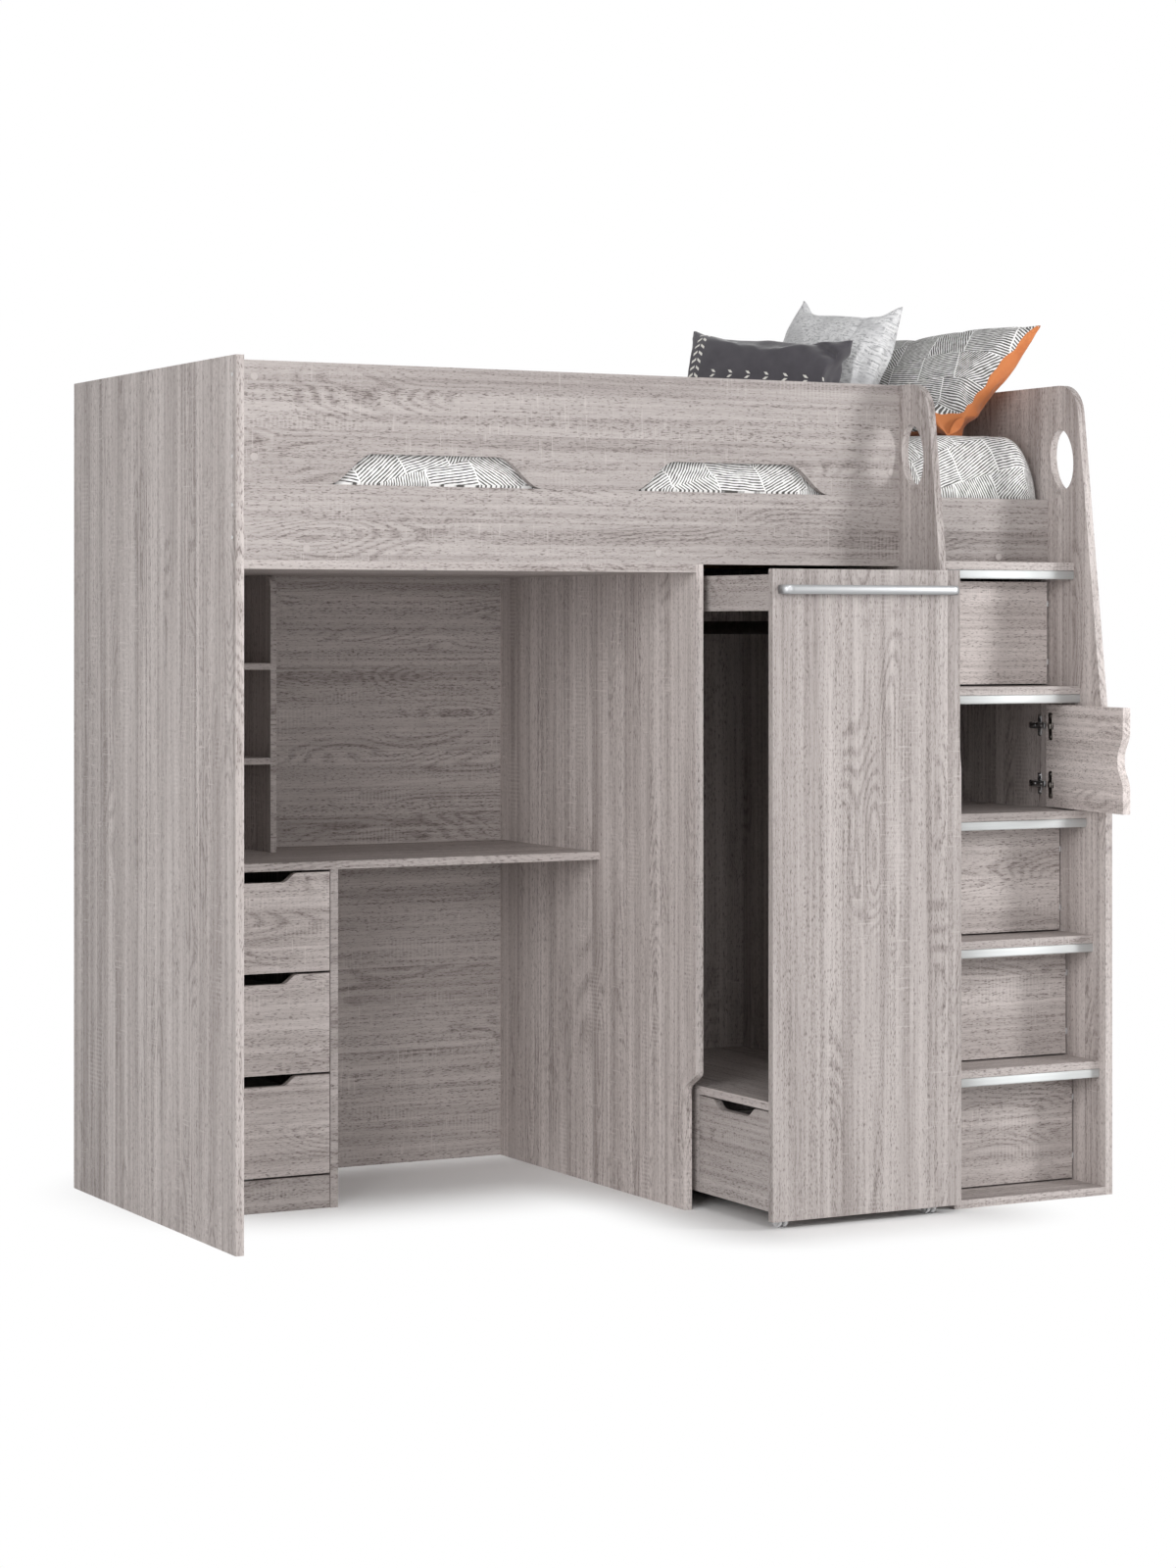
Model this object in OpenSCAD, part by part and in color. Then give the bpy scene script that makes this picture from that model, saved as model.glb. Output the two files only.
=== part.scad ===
// High sleeper bed with a desk bay, a pull-out wardrobe and a stair of cupboards.
// X runs along the bed from the outer face of the left end panel, Y runs back from the front
// edge of that panel, and Z runs up from the floor, all in millimetres.

/* [Boards] */
// Thickness of the main boards
board_t = 18; // [15:0.5:22]
// Thickness of the bookcase boards
thin_board_t = 15; // [12:0.5:18]
// Thickness of the drawer box boards
box_board_t = 12; // [9:0.5:15]

/* [Bays] */
// Clear width of the desk bay
desk_bay_w = 1059; // [960:1:1200]
// Clear width of the wardrobe bay
wardrobe_bay_w = 509; // [450:1:600]
// Clear width of the stair between its side panels
stair_w = 391; // [340:1:450]

/* [End panels and rails] */
// Depth of the end panels from front to back
frame_d = 965; // [940:1:1100]
// Height of the guards above the side rails
guard_h = 250; // [200:1:300]
// How far the guards stop below the top of the end panels
guard_drop = 10; // [0:1:40]
// Height of the underside of the side rails
rail_z = 1413; // [1350:1:1430]
// Height of the side rails
rail_h = 157; // [140:1:180]
// Depth of the narrow boards at the back of the end panels
rear_strip_w = 190; // [160:1:240]

/* [Guard cut-outs] */
// Distance of each cut-out's middle from the guard's ends
cutout_offset = 434; // [400:1:480]
// Width of a cut-out along its flat foot
cutout_foot_w = 497; // [400:1:560]
// Width of a cut-out along its flat top
cutout_top_w = 290; // [200:1:340]
// Height of a cut-out
cutout_h = 65; // [40:1:90]

/* [Stair side panels] */
// How far the stair stands out in front of the frame
stair_reach = 220; // [200:1:260]
// Height at which the front edges start to lean back
slant_start_z = 965; // [850:1:1050]
// How far the front edges stand out at the top of the end panel
slant_top_d = 108; // [100:1:130]
// Radius of the top front corners
corner_r = 75; // [40:1:90]
// Height of an oval grab hole
hole_h = 140; // [110:1:160]
// Width of an oval grab hole
hole_w = 86; // [70:1:100]
// Height of the middle of a grab hole below the top of the end panel
hole_drop = 170; // [150:1:190]
// How far the middle of a grab hole stands in front of the frame
hole_out = 54; // [50:1:60]
// Backward lean of a grab hole
hole_tilt = 10; // [0:1:15]

/* [Stair] */
// Number of treads above the base board
step_count = 5; // [5:1:5]
// Depth of the top tread in front of the frame
top_tread_d = 100; // [80:1:120]
// How far the top tread stands above the underside of the side rail
tread_lift = 10; // [6:0.5:14]
// Height of the metal bar under each tread's front edge
bar_h = 20; // [14:1:26]
// Depth of the metal bar
bar_t = 12; // [8:1:18]

/* [Cupboard doors] */
// How far a door stands back from the front of the tread above it
door_recess = 98; // [90:1:104]
// Gap on each side of a door
door_side_gap = 4; // [3:0.5:6]
// Gap under a door
door_foot_gap = 4; // [2:0.5:6]
// Gap between a door and the level of the bar above it
door_head_gap = 5; // [3:0.5:8]
// Opening angle of the second door as it is shown
door_open_angle = 80; // [0:1:88]
// Height of the wavy finger grip along a door's free edge
grip_h = 126; // [90:1:150]
// Height of the straight foot of the finger grip
grip_foot_h = 12; // [8:1:60]
// Depth of the finger grip
grip_d = 26; // [16:1:40]
// Distance of each hinge from the end of its door
hinge_inset = 50; // [40:1:70]
// Diameter of a hinge cup
cup_d = 26; // [24:0.5:30]
// Depth of a hinge cup in the door
cup_depth = 11; // [9:0.5:12]
// Height of a hinge cup's flange
flange_h = 63; // [52:1:70]
// Width of a hinge cup's flange
flange_w = 20; // [14:1:24]
// Length of a hinge arm
hinge_arm_l = 54; // [45:1:70]
// Height of a hinge arm
hinge_arm_h = 14; // [10:1:18]

/* [Desk] */
// Height of the desk top's upper face
desk_h = 762; // [720:1:790]
// Depth of the desk top
desk_d = 505; // [450:1:560]
// Clear width for the desk drawers
pedestal_w = 389; // [340:1:420]
// Height of the plinth under the drawers
plinth_h = 72; // [50:1:90]
// Number of desk drawers
drawer_count = 3; // [3:1:3]
// Gap above and below each drawer front
drawer_gap = 5.25; // [3:0.25:7]
// Gap on each side of a drawer front
drawer_side_gap = 2; // [1.5:0.25:4]
// How far the drawer fronts stand back from the desk top's edge
drawer_set_back = 4; // [0:0.5:10]
// Length of a desk drawer's box
drawer_box_l = 440; // [380:5:450]
// Height of a drawer box
drawer_box_h = 150; // [110:1:160]
// Thickness of a drawer's floor
drawer_floor_t = 6; // [4:0.5:8]
// Width of a desk drawer's finger notch at the top edge
notch_top_w = 232; // [180:1:260]
// Width of a desk drawer's finger notch at its foot
notch_foot_w = 162; // [100:1:175]
// Depth of a finger notch
notch_d = 20; // [14:1:26]
// Width of a drawer runner
runner_w = 12.7; // [10:0.1:15]
// Height of a drawer runner
runner_h = 36; // [25:1:45]

/* [Bookcase] */
// Clear width of the bookcase
bookcase_w = 385; // [330:1:420]
// Depth of the bookcase
bookcase_d = 172; // [140:1:220]
// Radius of the bookcase side's top corner
bookcase_corner_r = 30; // [10:1:50]

/* [Partition] */
// Depth of the recess at the foot of the partition's front edge
recess_d = 50; // [40:1:60]
// Height of the straight part of that recess
recess_h = 263; // [255:1:300]
// Height of the curve above the recess
recess_curve_h = 43; // [30:1:60]
// Height of the seam between the two back panels of the desk bay
back_seam_z = 199; // [150:1:260]

/* [Pull-out wardrobe] */
// Gap on each side of the wardrobe's front panel
front_side_gap = 16.5; // [10:0.5:20]
// Height of the front panel's foot above the floor
front_foot_z = 18; // [12:1:26]
// Gap between the front panel and the side rail
front_head_gap = 13; // [8:1:25]
// How far the body stands in from each edge of the front panel
body_inset = 2; // [0:0.5:4]
// How far the body stops below the front panel's top
body_drop = 12; // [6:1:24]
// Height of the apron under the top board
apron_h = 59; // [40:1:80]
// Gap behind the wardrobe when it is pushed in
wardrobe_rear_gap = 42; // [20:1:60]
// Height of the base board's underside above the floor
castor_h = 38; // [36:1:44]
// Clear height from the base board's underside to the shelf
low_bay_h = 214; // [200:1:216]
// Width of the wardrobe drawer's front
side_drawer_w = 293; // [275:1:310]
// Gap at each side of the wardrobe drawer's front
side_drawer_gap = 2; // [1.5:0.25:4]
// Gap between the wardrobe drawer's front and the shelf above
side_drawer_head_gap = 3; // [2:0.5:5]
// Length of the wardrobe drawer's box
side_drawer_l = 400; // [340:5:400]
// Width of the wardrobe drawer's notch at the top edge
side_notch_top_w = 188; // [140:1:200]
// Width of the wardrobe drawer's notch at its foot
side_notch_foot_w = 110; // [70:1:120]
// Distance of the hanging rail's middle below the top board
rail_tube_drop = 95; // [80:1:140]
// Height of the hanging rail's oval section
rail_tube_h = 30; // [24:1:34]
// Width of the hanging rail's oval section
rail_tube_w = 15; // [12:1:20]
// Wall of a rail socket
socket_wall = 4; // [3:0.5:6]
// Depth of a rail socket
socket_d = 12; // [8:1:18]

/* [Handle] */
// Length of the bow handle
handle_l = 452; // [380:1:460]
// Height of the handle's bar
handle_h = 20; // [14:1:26]
// Thickness of the handle's bar
handle_t = 8; // [6:0.5:12]
// How far the handle stands out from the front panel
handle_out = 32; // [26:1:45]
// Distance of the handle's middle below the front panel's top
handle_drop = 44; // [30:1:80]

/* [Castors] */
// Diameter of a castor wheel
wheel_d = 32; // [26:0.5:34]
// Width of a castor wheel
wheel_w = 8; // [6:0.5:10]
// Diameter of a castor axle
axle_d = 5; // [4:0.25:6]
// Distance of the left castors from the side of the wardrobe body
castor_left_inset = 38; // [37:1:60]
// Distance of the right castors from the side of the wardrobe body
castor_right_inset = 56; // [37:1:70]
// Distance of a castor from the front or the back of the wardrobe
castor_end_inset = 37; // [37:1:100]

/* [Bed base] */
// Number of slats
slat_count = 14; // [12:1:16]
// Width of a slat
slat_w = 60; // [50:1:80]
// Thickness of a slat
slat_t = 12; // [10:0.5:15]
// Height of the battens that carry the slats
batten_h = 28; // [22:1:32]
// Width of the battens
batten_w = 25; // [20:1:35]
// How far the battens stand above the underside of the side rail
batten_lift = 9; // [4:1:15]

/* [Bedding] */
// Gap between the mattress and each end panel
mattress_end_gap = 47.5; // [20:0.5:60]
// Gap between the mattress and each side
mattress_side_gap = 14.5; // [12:0.5:20]
// Thickness of the mattress
mattress_t = 180; // [150:1:190]
// Thickness of the duvet over the mattress
duvet_t = 64; // [50:1:80]
// Rise of the duvet from its edges to its middle
duvet_crown = 10; // [0:1:20]
// How far the duvet hangs down the sides of the mattress
duvet_hang = 82; // [60:1:100]
// Width, height and thickness of the bed pillow
bed_pillow_size = [667, 353, 150];
// Width, height and thickness of the light cushion
light_cushion_size = [404, 319, 120];
// Width, height and thickness of the dark cushion
dark_cushion_size = [448, 226, 96];

/* [Fixings] */
// Diameter of a cover cap
cap_d = 17; // [12:0.5:20]
// Thickness of a cover cap
cap_t = 1; // [0.6:0.1:2]
// Distance of the guard's cover caps from its ends
cap_end_inset = 22; // [15:1:40]
// Height of the lower guard caps above the guard's foot
cap_low_rise = 53; // [40:1:60]
// Distance of the upper guard caps below the guard's top
cap_high_drop = 33; // [20:1:60]
// Height of the rail's cover caps above the rail's foot
rail_cap_rise = 24; // [15:1:60]
// Distance of the rail's outer caps from its ends
rail_cap_inset = 138; // [100:1:180]
// Distance of the rail's middle cap from the partition
rail_cap_gap = 94; // [60:1:140]
// Diameter of a screw head in an end panel
screw_d = 8; // [6:0.5:10]
// Thickness of a screw head
screw_t = 0.6; // [0.4:0.1:1]
// Distance of the screw heads behind the end panels' front plane
screw_inset = 20; // [12:1:30]
// Distance of the upper guard screws below the guard's top
guard_screw_drop = 30; // [20:1:45]
// Height of the lower guard screws above the guard's foot
guard_screw_rise = 54; // [40:1:60]
// Distance of the upper rail screws below the rail's top
rail_screw_drop = 45; // [20:1:60]
// Height of the lower rail screws above the rail's foot
rail_screw_rise = 46; // [40:1:60]

/* [Hidden] */
$fn = 64;

// Colours as the photograph shows them
oak_colour = [0.68, 0.64, 0.62];
oak_dark_colour = [0.55, 0.52, 0.51];
metal_colour = [0.86, 0.87, 0.88];
dark_metal_colour = [0.24, 0.21, 0.20];
plastic_colour = [0.80, 0.80, 0.79];
slat_colour = [0.84, 0.74, 0.58];
cloth_colour = [0.86, 0.86, 0.85];
dark_cloth_colour = [0.28, 0.27, 0.29];

// Clearances, the first between boards that are screwed together within one group
board_seam = 0.2;
slide_gap = 0.3;
touch_gap = 0.5;
soft_gap = 0.3;
shaft_gap = 0.05;

// Faces of the upright boards along X
partition_x = board_t + desk_bay_w;
wardrobe_bay_x = partition_x + board_t;
stair_side_x = wardrobe_bay_x + wardrobe_bay_w;
stair_x = stair_side_x + board_t;
right_x = stair_x + stair_w;
total_l = right_x + board_t;

// Depths and heights of the frame
back_y = frame_d - board_t;
strip_y = frame_d - rear_strip_w;
guard_z = rail_z + rail_h;
guard_top_z = guard_z + guard_h;
end_h = guard_top_z + guard_drop;
desk_under_z = desk_h - board_t;
ceiling_z = rail_z - board_t;

// Front edge of the stair's side panels
slant_angle = atan((stair_reach - slant_top_d) / (end_h - slant_start_z));
hole_z = end_h - hole_drop;

// Treads, counted from the top
tread_top_z = rail_z + tread_lift;
step_rise = (tread_top_z - board_t) / step_count;
step_go = (stair_reach - top_tread_d) / step_count;
function tread_z(k) = tread_top_z - (k - 1) * step_rise;
function tread_y(k) = -top_tread_d - (k - 1) * step_go;

// Doors, counted from the top
door_w = stair_w - 2 * door_side_gap;
door_h = step_rise - board_t - bar_h - door_foot_gap - door_head_gap;
door_x = stair_x + door_side_gap;
door_pivot_x = door_x + door_w;
shown_door = 2;
function door_y(k) = tread_y(k) + door_recess;
function door_z(k) = tread_z(k + 1) + door_foot_gap;
function door_angle(k) = k == shown_door ? door_open_angle : 0;
hinge_plate_t = 3;
hinge_arm_t = 10;
hinge_arm_start = board_t + 4;
hinge_arm_root = 12;
hinge_plate_tail = 20;
hinge_tongue_lead = 1;
hinge_cup_inset = 26;
flange_t = 2;
wing_h = 50;
wing_w = 13;

// Desk drawers, counted from the top
drawer_front_y = back_y - desk_d + drawer_set_back;
drawer_front_h = (desk_under_z - plinth_h - (drawer_count + 1) * drawer_gap) / drawer_count;
drawer_pitch = drawer_front_h + drawer_gap;
pedestal_x = board_t + pedestal_w;
plinth_set_back = 4;
function desk_drawer_z(k) = desk_under_z - k * drawer_pitch;
drawer_box_foot = 18;
runner_ledge_w = 9;
runner_ledge_t = 4;
runner_front_gap = 4;
runner_l = drawer_box_l - 20;

// Wardrobe at rest, pulled out until its drawer just clears the recess in the partition
divider_offset = board_t + side_drawer_w + 2 * side_drawer_gap;
wardrobe_out = divider_offset - recess_d;
wardrobe_d = back_y - wardrobe_rear_gap;
front_x = wardrobe_bay_x + front_side_gap;
front_end_x = stair_side_x - front_side_gap;
front_y = -wardrobe_out;
front_back_y = front_y + board_t;
front_top_z = rail_z - front_head_gap;
body_x = front_x + body_inset;
body_end_x = front_end_x - body_inset;
body_mid_x = (body_x + body_end_x) / 2;
body_top_z = front_top_z - body_drop;
body_rear_y = front_y + wardrobe_d;
body_back_y = body_rear_y - board_t;
divider_y = front_y + divider_offset;
rail_tube_z = body_top_z - board_t - rail_tube_drop;
base_top_z = castor_h + board_t;
shelf_z = castor_h + low_bay_h;
side_box_z = base_top_z + runner_ledge_t + 2;
handle_z = front_top_z - handle_drop;
handle_corner_r = 24;

// Castors: front left, front right, rear left, rear right
castor_xs = [body_x + castor_left_inset, body_end_x - castor_right_inset];
castor_ys = [front_y + castor_end_inset, body_rear_y - castor_end_inset];
castor_plate_t = 3;
castor_plate_w = 36;
castor_web_w = 6;
castor_web_d = 16;
wheel_gap = 0.5;
axle_l = castor_web_w + 2 * (wheel_gap + wheel_w + wheel_gap);
function castor_at(k) = [castor_xs[(k - 1) % 2], castor_ys[floor((k - 1) / 2)]];

// Bed base and bedding
batten_z = rail_z + batten_lift;
slat_z = batten_z + batten_h;
slat_end_gap = 1;
mattress_z = slat_z + slat_t;
mattress_x = board_t + mattress_end_gap;
mattress_end_x = right_x - mattress_end_gap;
mattress_y = board_t + mattress_side_gap;
mattress_end_y = back_y - mattress_side_gap;
mattress_top_z = mattress_z + mattress_t;
mattress_corner_r = 45;
duvet_top_z = mattress_top_z + duvet_t;
duvet_foot_z = mattress_top_z - duvet_hang;
duvet_edge_t = 15;
duvet_side_gap = 0.8;
duvet_end_gap = 3.2;
duvet_step_w = 0.2;
duvet_x = [board_t + duvet_end_gap, right_x - duvet_end_gap];
duvet_y = [board_t + duvet_side_gap, back_y - duvet_side_gap];
duvet_end_round = 85;
duvet_side_round = 45;
pillow_steps = 14;

// Where the pillows stand: how far the middle of each is in from the right end panel and back
// from the front plane, with its lean, its turn and its roll in degrees
bed_pillow_in = 121;
bed_pillow_back = 378;
bed_pillow_place = [right_x - bed_pillow_in, bed_pillow_back];
bed_pillow_pose = [41, -89.4, 0];
light_cushion_in = 334;
light_cushion_back = 414;
light_cushion_place = [right_x - light_cushion_in, light_cushion_back];
light_cushion_pose = [19, -84, -7];
dark_cushion_in = 574;
dark_cushion_back = 321;
dark_cushion_place = [right_x - dark_cushion_in, dark_cushion_back];
dark_cushion_pose = [13, -64, -5.5];

// Row frame: the middle of the whole object's plan, on the floor
door_tip_y = door_y(shown_door) - door_w * sin(door_open_angle);
front_most_y = min(door_tip_y, front_y - handle_out);
origin_x = total_l / 2;
origin_y = (front_most_y + frame_d) / 2;

module placed() {
    translate([-origin_x, -origin_y, 0]) children();
}

// Board with its outline in Y and Z, standing from x towards +X
module upright_yz(x, t, outline) {
    translate([x, 0, 0]) rotate([90, 0, 90]) linear_extrude(t) polygon(outline);
}

// Board with its outline in X and Z, standing from y towards +Y
module upright_xz(y, t, outline) {
    translate([0, y + t, 0]) rotate([90, 0, 0]) linear_extrude(t) polygon(outline);
}

// Box between two corners
module block(low, high) {
    translate(low) cube(high - low);
}

// Points of an arc from angle a to angle b
function arc(cx, cy, r, a, b, n = 12) =
    [for (i = [0:n]) let (t = a + (b - a) * i / n) [cx + r * cos(t), cy + r * sin(t)]];

// Wave that runs level at both ends, from point p to point q
function wave(p, q, n = 12) =
    [for (i = [0:n]) let (t = i / n) [p.x + (q.x - p.x) * t, p.y + (q.y - p.y) * (1 - cos(180 * t)) / 2]];

// The same wave, upright at both ends
function upright_wave(p, q, n = 12) =
    [for (i = [0:n]) let (t = i / n) [p.x + (q.x - p.x) * (1 - cos(180 * t)) / 2, p.y + (q.y - p.y) * t]];

function oval(w, h, n = 40) =
    [for (i = [0:n - 1]) [w / 2 * cos(360 * i / n), h / 2 * sin(360 * i / n)]];

function turned(points, a) =
    [for (p = points) [p.x * cos(a) - p.y * sin(a), p.x * sin(a) + p.y * cos(a)]];

function moved(points, by) = [for (p = points) p + by];

function rounded_rect(x0, y0, x1, y1, r) = concat(
    arc(x1 - r, y1 - r, r, 0, 90), arc(x0 + r, y1 - r, r, 90, 180),
    arc(x0 + r, y0 + r, r, 180, 270), arc(x1 - r, y0 + r, r, 270, 360));

// Front edge of a stair side panel up to its rounded top corner, from the top down
function stair_front(top) =
    let (cz = top - corner_r,
         cy = -stair_reach + (cz - slant_start_z) * tan(slant_angle) + corner_r / cos(slant_angle))
    concat(arc(cy, cz, corner_r, 90, 180 - slant_angle), [[-stair_reach, slant_start_z]]);

module grab_hole(x) {
    outline = moved(turned(oval(hole_w, hole_h), -hole_tilt), [-hole_out, hole_z]);
    upright_yz(x - 1, board_t + 2, outline);
}

module left_end_panel() {
    color(oak_colour) placed() block([0, 0, 0], [board_t, strip_y, end_h]);
}

module right_end_panel() {
    outline = concat([[-stair_reach, 0], [strip_y, 0], [strip_y, end_h]], stair_front(end_h));
    color(oak_colour) placed() difference() {
        upright_yz(right_x, board_t, outline);
        grab_hole(right_x);
    }
}

// The part above the side rail stands wholly in front of the rail and the guard
module stair_side_panel() {
    outline = concat(
        [[-stair_reach, 0], [strip_y, 0], [strip_y, rail_z], [0, rail_z], [0, guard_top_z]],
        stair_front(guard_top_z));
    color(oak_colour) placed() difference() {
        upright_yz(stair_side_x, board_t, outline);
        grab_hole(stair_side_x);
    }
}

module rear_strips() {
    color(oak_colour) placed() {
        block([0, strip_y, 0], [board_t, frame_d, end_h]);
        block([stair_side_x, strip_y, 0], [stair_x, frame_d, rail_z]);
        block([right_x, strip_y, 0], [total_l, frame_d, end_h]);
    }
}

function cutout(mid) = concat(
    wave([mid - cutout_foot_w / 2, guard_z], [mid - cutout_top_w / 2, guard_z + cutout_h]),
    wave([mid + cutout_top_w / 2, guard_z + cutout_h], [mid + cutout_foot_w / 2, guard_z]));

module guard_board() {
    outline = concat([[board_t, guard_z]], cutout(board_t + cutout_offset),
        cutout(stair_side_x - cutout_offset),
        [[stair_x, guard_z], [stair_x, guard_top_z], [board_t, guard_top_z]]);
    color(oak_colour) placed() upright_xz(0, board_t, outline);
}

module front_side_rail() {
    color(oak_colour) placed() block([board_t, 0, rail_z], [right_x, board_t, guard_z]);
}

module rear_boards() {
    color(oak_colour) placed() {
        block([board_t, back_y, rail_z], [right_x, frame_d, guard_z]);
        block([board_t, back_y, guard_z + board_seam], [right_x, frame_d, guard_top_z]);
    }
}

module slat_base() {
    pitch = (mattress_end_x - mattress_x - slat_w) / (slat_count - 1);
    color(slat_colour) placed() {
        block([board_t, board_t, batten_z], [right_x, board_t + batten_w, slat_z]);
        block([board_t, back_y - batten_w, batten_z], [right_x, back_y, slat_z]);
        for (i = [0:slat_count - 1])
            block([mattress_x + i * pitch, board_t + slat_end_gap, slat_z + board_seam],
                [mattress_x + i * pitch + slat_w, back_y - slat_end_gap, mattress_z]);
    }
}

module ceiling_boards() {
    color(oak_colour) placed() {
        block([board_t, 0, ceiling_z], [partition_x, back_y, rail_z]);
        block([stair_x, 0, ceiling_z], [right_x, back_y, rail_z]);
    }
}

module partition_panel() {
    outline = concat(
        upright_wave([0, recess_h + recess_curve_h], [recess_d, recess_h]),
        [[recess_d, 0], [frame_d, 0], [frame_d, rail_z], [0, rail_z]]);
    color(oak_colour) placed() upright_yz(partition_x, board_t, outline);
}

// The desk bay's back has a low strip and a tall panel, and the other bays have one panel each
module back_panels() {
    color(oak_colour) placed() {
        block([board_t, back_y, 0], [partition_x, frame_d, back_seam_z]);
        block([board_t, back_y, back_seam_z + board_seam], [partition_x, frame_d, rail_z]);
        block([wardrobe_bay_x, back_y, 0], [stair_side_x, frame_d, rail_z]);
        block([stair_x, back_y, 0], [right_x, frame_d, rail_z]);
    }
}

module desk_top() {
    color(oak_colour) placed()
        block([board_t, back_y - desk_d, desk_under_z], [partition_x, back_y, desk_h]);
}

module pedestal_boards() {
    plinth_y = drawer_front_y + plinth_set_back;
    color(oak_colour) placed() {
        block([pedestal_x, drawer_front_y, 0], [pedestal_x + board_t, back_y, desk_under_z]);
        block([board_t, plinth_y, 0], [pedestal_x - board_seam, plinth_y + board_t, plinth_h]);
    }
}

module bookcase_boards() {
    side_x = board_t + bookcase_w;
    front = back_y - bookcase_d;
    clear = (ceiling_z - desk_h - 2 * thin_board_t) / 3;
    r = bookcase_corner_r;
    outline = concat([[front, desk_h], [back_y, desk_h], [back_y, ceiling_z]],
        arc(front + r, ceiling_z - r, r, 90, 180));
    color(oak_dark_colour) placed() {
        upright_yz(side_x, thin_board_t, outline);
        for (i = [1:2])
            let (z = desk_h + i * clear + (i - 1) * thin_board_t)
                block([board_t, front, z], [side_x - board_seam, back_y, z + thin_board_t]);
    }
}

// The top tread butts against the side rail, and the others run back as cupboard floors
module stair_treads() {
    color(oak_colour) placed()
        for (k = [1:step_count])
            block([stair_x, tread_y(k), tread_z(k) - board_t],
                [right_x, k == 1 ? 0 : back_y, tread_z(k)]);
}

module tread_bars() {
    color(metal_colour) placed()
        for (k = [1:step_count])
            let (z = tread_z(k) - board_t)
                block([stair_x, tread_y(k), z - bar_h], [right_x, tread_y(k) + bar_t, z]);
}

module stair_base_board() {
    color(oak_colour) placed() block([stair_x, -stair_reach, 0], [right_x, back_y, board_t]);
}

function hinge_zs(k) = [door_z(k) + hinge_inset, door_z(k) + door_h - hinge_inset];

// Plate on the right end panel with its wings, the arm that reaches towards the door, and the
// tongue beside the door's hinge edge that the door turns on
module hinge_mount(y, z) {
    plate_x = right_x - hinge_plate_t;
    arm_y = y + hinge_arm_start;
    wing_y = arm_y + hinge_arm_l / 2;
    half_h = hinge_arm_h / 2;
    union() {
        block([door_pivot_x + slide_gap, y - hinge_tongue_lead, z - half_h],
            [right_x, arm_y + hinge_arm_root, z + half_h]);
        block([plate_x, arm_y + hinge_arm_root, z - half_h],
            [right_x, arm_y + hinge_arm_l + hinge_plate_tail, z + half_h]);
        block([plate_x, wing_y, z - wing_h / 2], [right_x, wing_y + wing_w, z + wing_h / 2]);
        block([plate_x - hinge_arm_t, arm_y, z - half_h], [plate_x, arm_y + hinge_arm_l, z + half_h]);
    }
}

module hinge_mounts() {
    color(metal_colour) placed()
        for (k = [1:step_count], z = hinge_zs(k))
            hinge_mount(door_y(k), z);
}

module cap(x, z) {
    translate([x, 0, z]) rotate([90, 0, 0]) cylinder(d = cap_d, h = cap_t);
}

module cover_caps() {
    guard_cap_zs = [guard_z + cap_low_rise, guard_top_z - cap_high_drop];
    rail_cap_z = rail_z + rail_cap_rise;
    color(plastic_colour) placed() {
        for (z = guard_cap_zs)
            cap(board_t + cap_end_inset, z);
        cap(stair_side_x - cap_end_inset, guard_cap_zs[0]);
        cap(board_t + rail_cap_inset, rail_cap_z);
        cap(partition_x - rail_cap_gap, rail_cap_z);
        cap(right_x - rail_cap_inset, rail_cap_z);
    }
}

module screw_head(x, z) {
    translate([x, screw_inset, z]) rotate([0, 90, 0]) cylinder(d = screw_d, h = screw_t);
}

module panel_screws() {
    guard_screw_zs = [guard_z + guard_screw_rise, guard_top_z - guard_screw_drop];
    rail_screw_zs = [rail_z + rail_screw_rise, guard_z - rail_screw_drop];
    color(metal_colour) placed() {
        for (z = concat(guard_screw_zs, rail_screw_zs))
            screw_head(-screw_t, z);
        for (z = rail_screw_zs)
            screw_head(total_l, z);
    }
}

// Door k shut, with its front face at y = 0 and its hinge edge at x = 0
module door_at(k) {
    placed() translate([door_pivot_x, door_y(k), 0]) rotate([0, 0, door_angle(k)]) children();
}

module cupboard_door(k) {
    z0 = door_z(k);
    mid = z0 + door_h / 2;
    edge = -door_w;
    outline = concat([[0, z0], [0, z0 + door_h], [edge, z0 + door_h]],
        upright_wave([edge, mid + grip_h / 2], [edge + grip_d, mid + grip_foot_h / 2]),
        upright_wave([edge + grip_d, mid - grip_foot_h / 2], [edge, mid - grip_h / 2]),
        [[edge, z0]]);
    color(oak_colour) door_at(k) difference() {
        upright_xz(0, board_t, outline);
        for (z = hinge_zs(k))
            translate([-hinge_cup_inset, board_t + 1, z]) rotate([90, 0, 0])
                cylinder(d = cup_d, h = cup_depth + 1);
    }
}

module hinge_cups(k) {
    color(dark_metal_colour) door_at(k)
        for (z = hinge_zs(k))
            translate([-hinge_cup_inset, board_t, z]) union() {
                rotate([90, 0, 0]) cylinder(d = cup_d - 2 * shaft_gap, h = cup_depth - shaft_gap);
                translate([-flange_w / 2, 0, -flange_h / 2]) cube([flange_w, flange_t, flange_h]);
            }
}

// Outline of a drawer front from a to b and from z0 to z1 with a finger notch in its top edge
function notched(a, b, z0, z1, top_w, foot_w) =
    let (mid = (a + b) / 2)
    concat([[a, z0], [b, z0], [b, z1]],
        wave([mid + top_w / 2, z1], [mid + foot_w / 2, z1 - notch_d]),
        wave([mid - foot_w / 2, z1 - notch_d], [mid - top_w / 2, z1]), [[a, z1]]);

module desk_drawer_front(k) {
    z0 = desk_drawer_z(k);
    outline = notched(board_t + drawer_side_gap, pedestal_x - drawer_side_gap,
        z0, z0 + drawer_front_h, notch_top_w, notch_foot_w);
    color(oak_colour) placed() upright_xz(drawer_front_y, board_t, outline);
}

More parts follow.
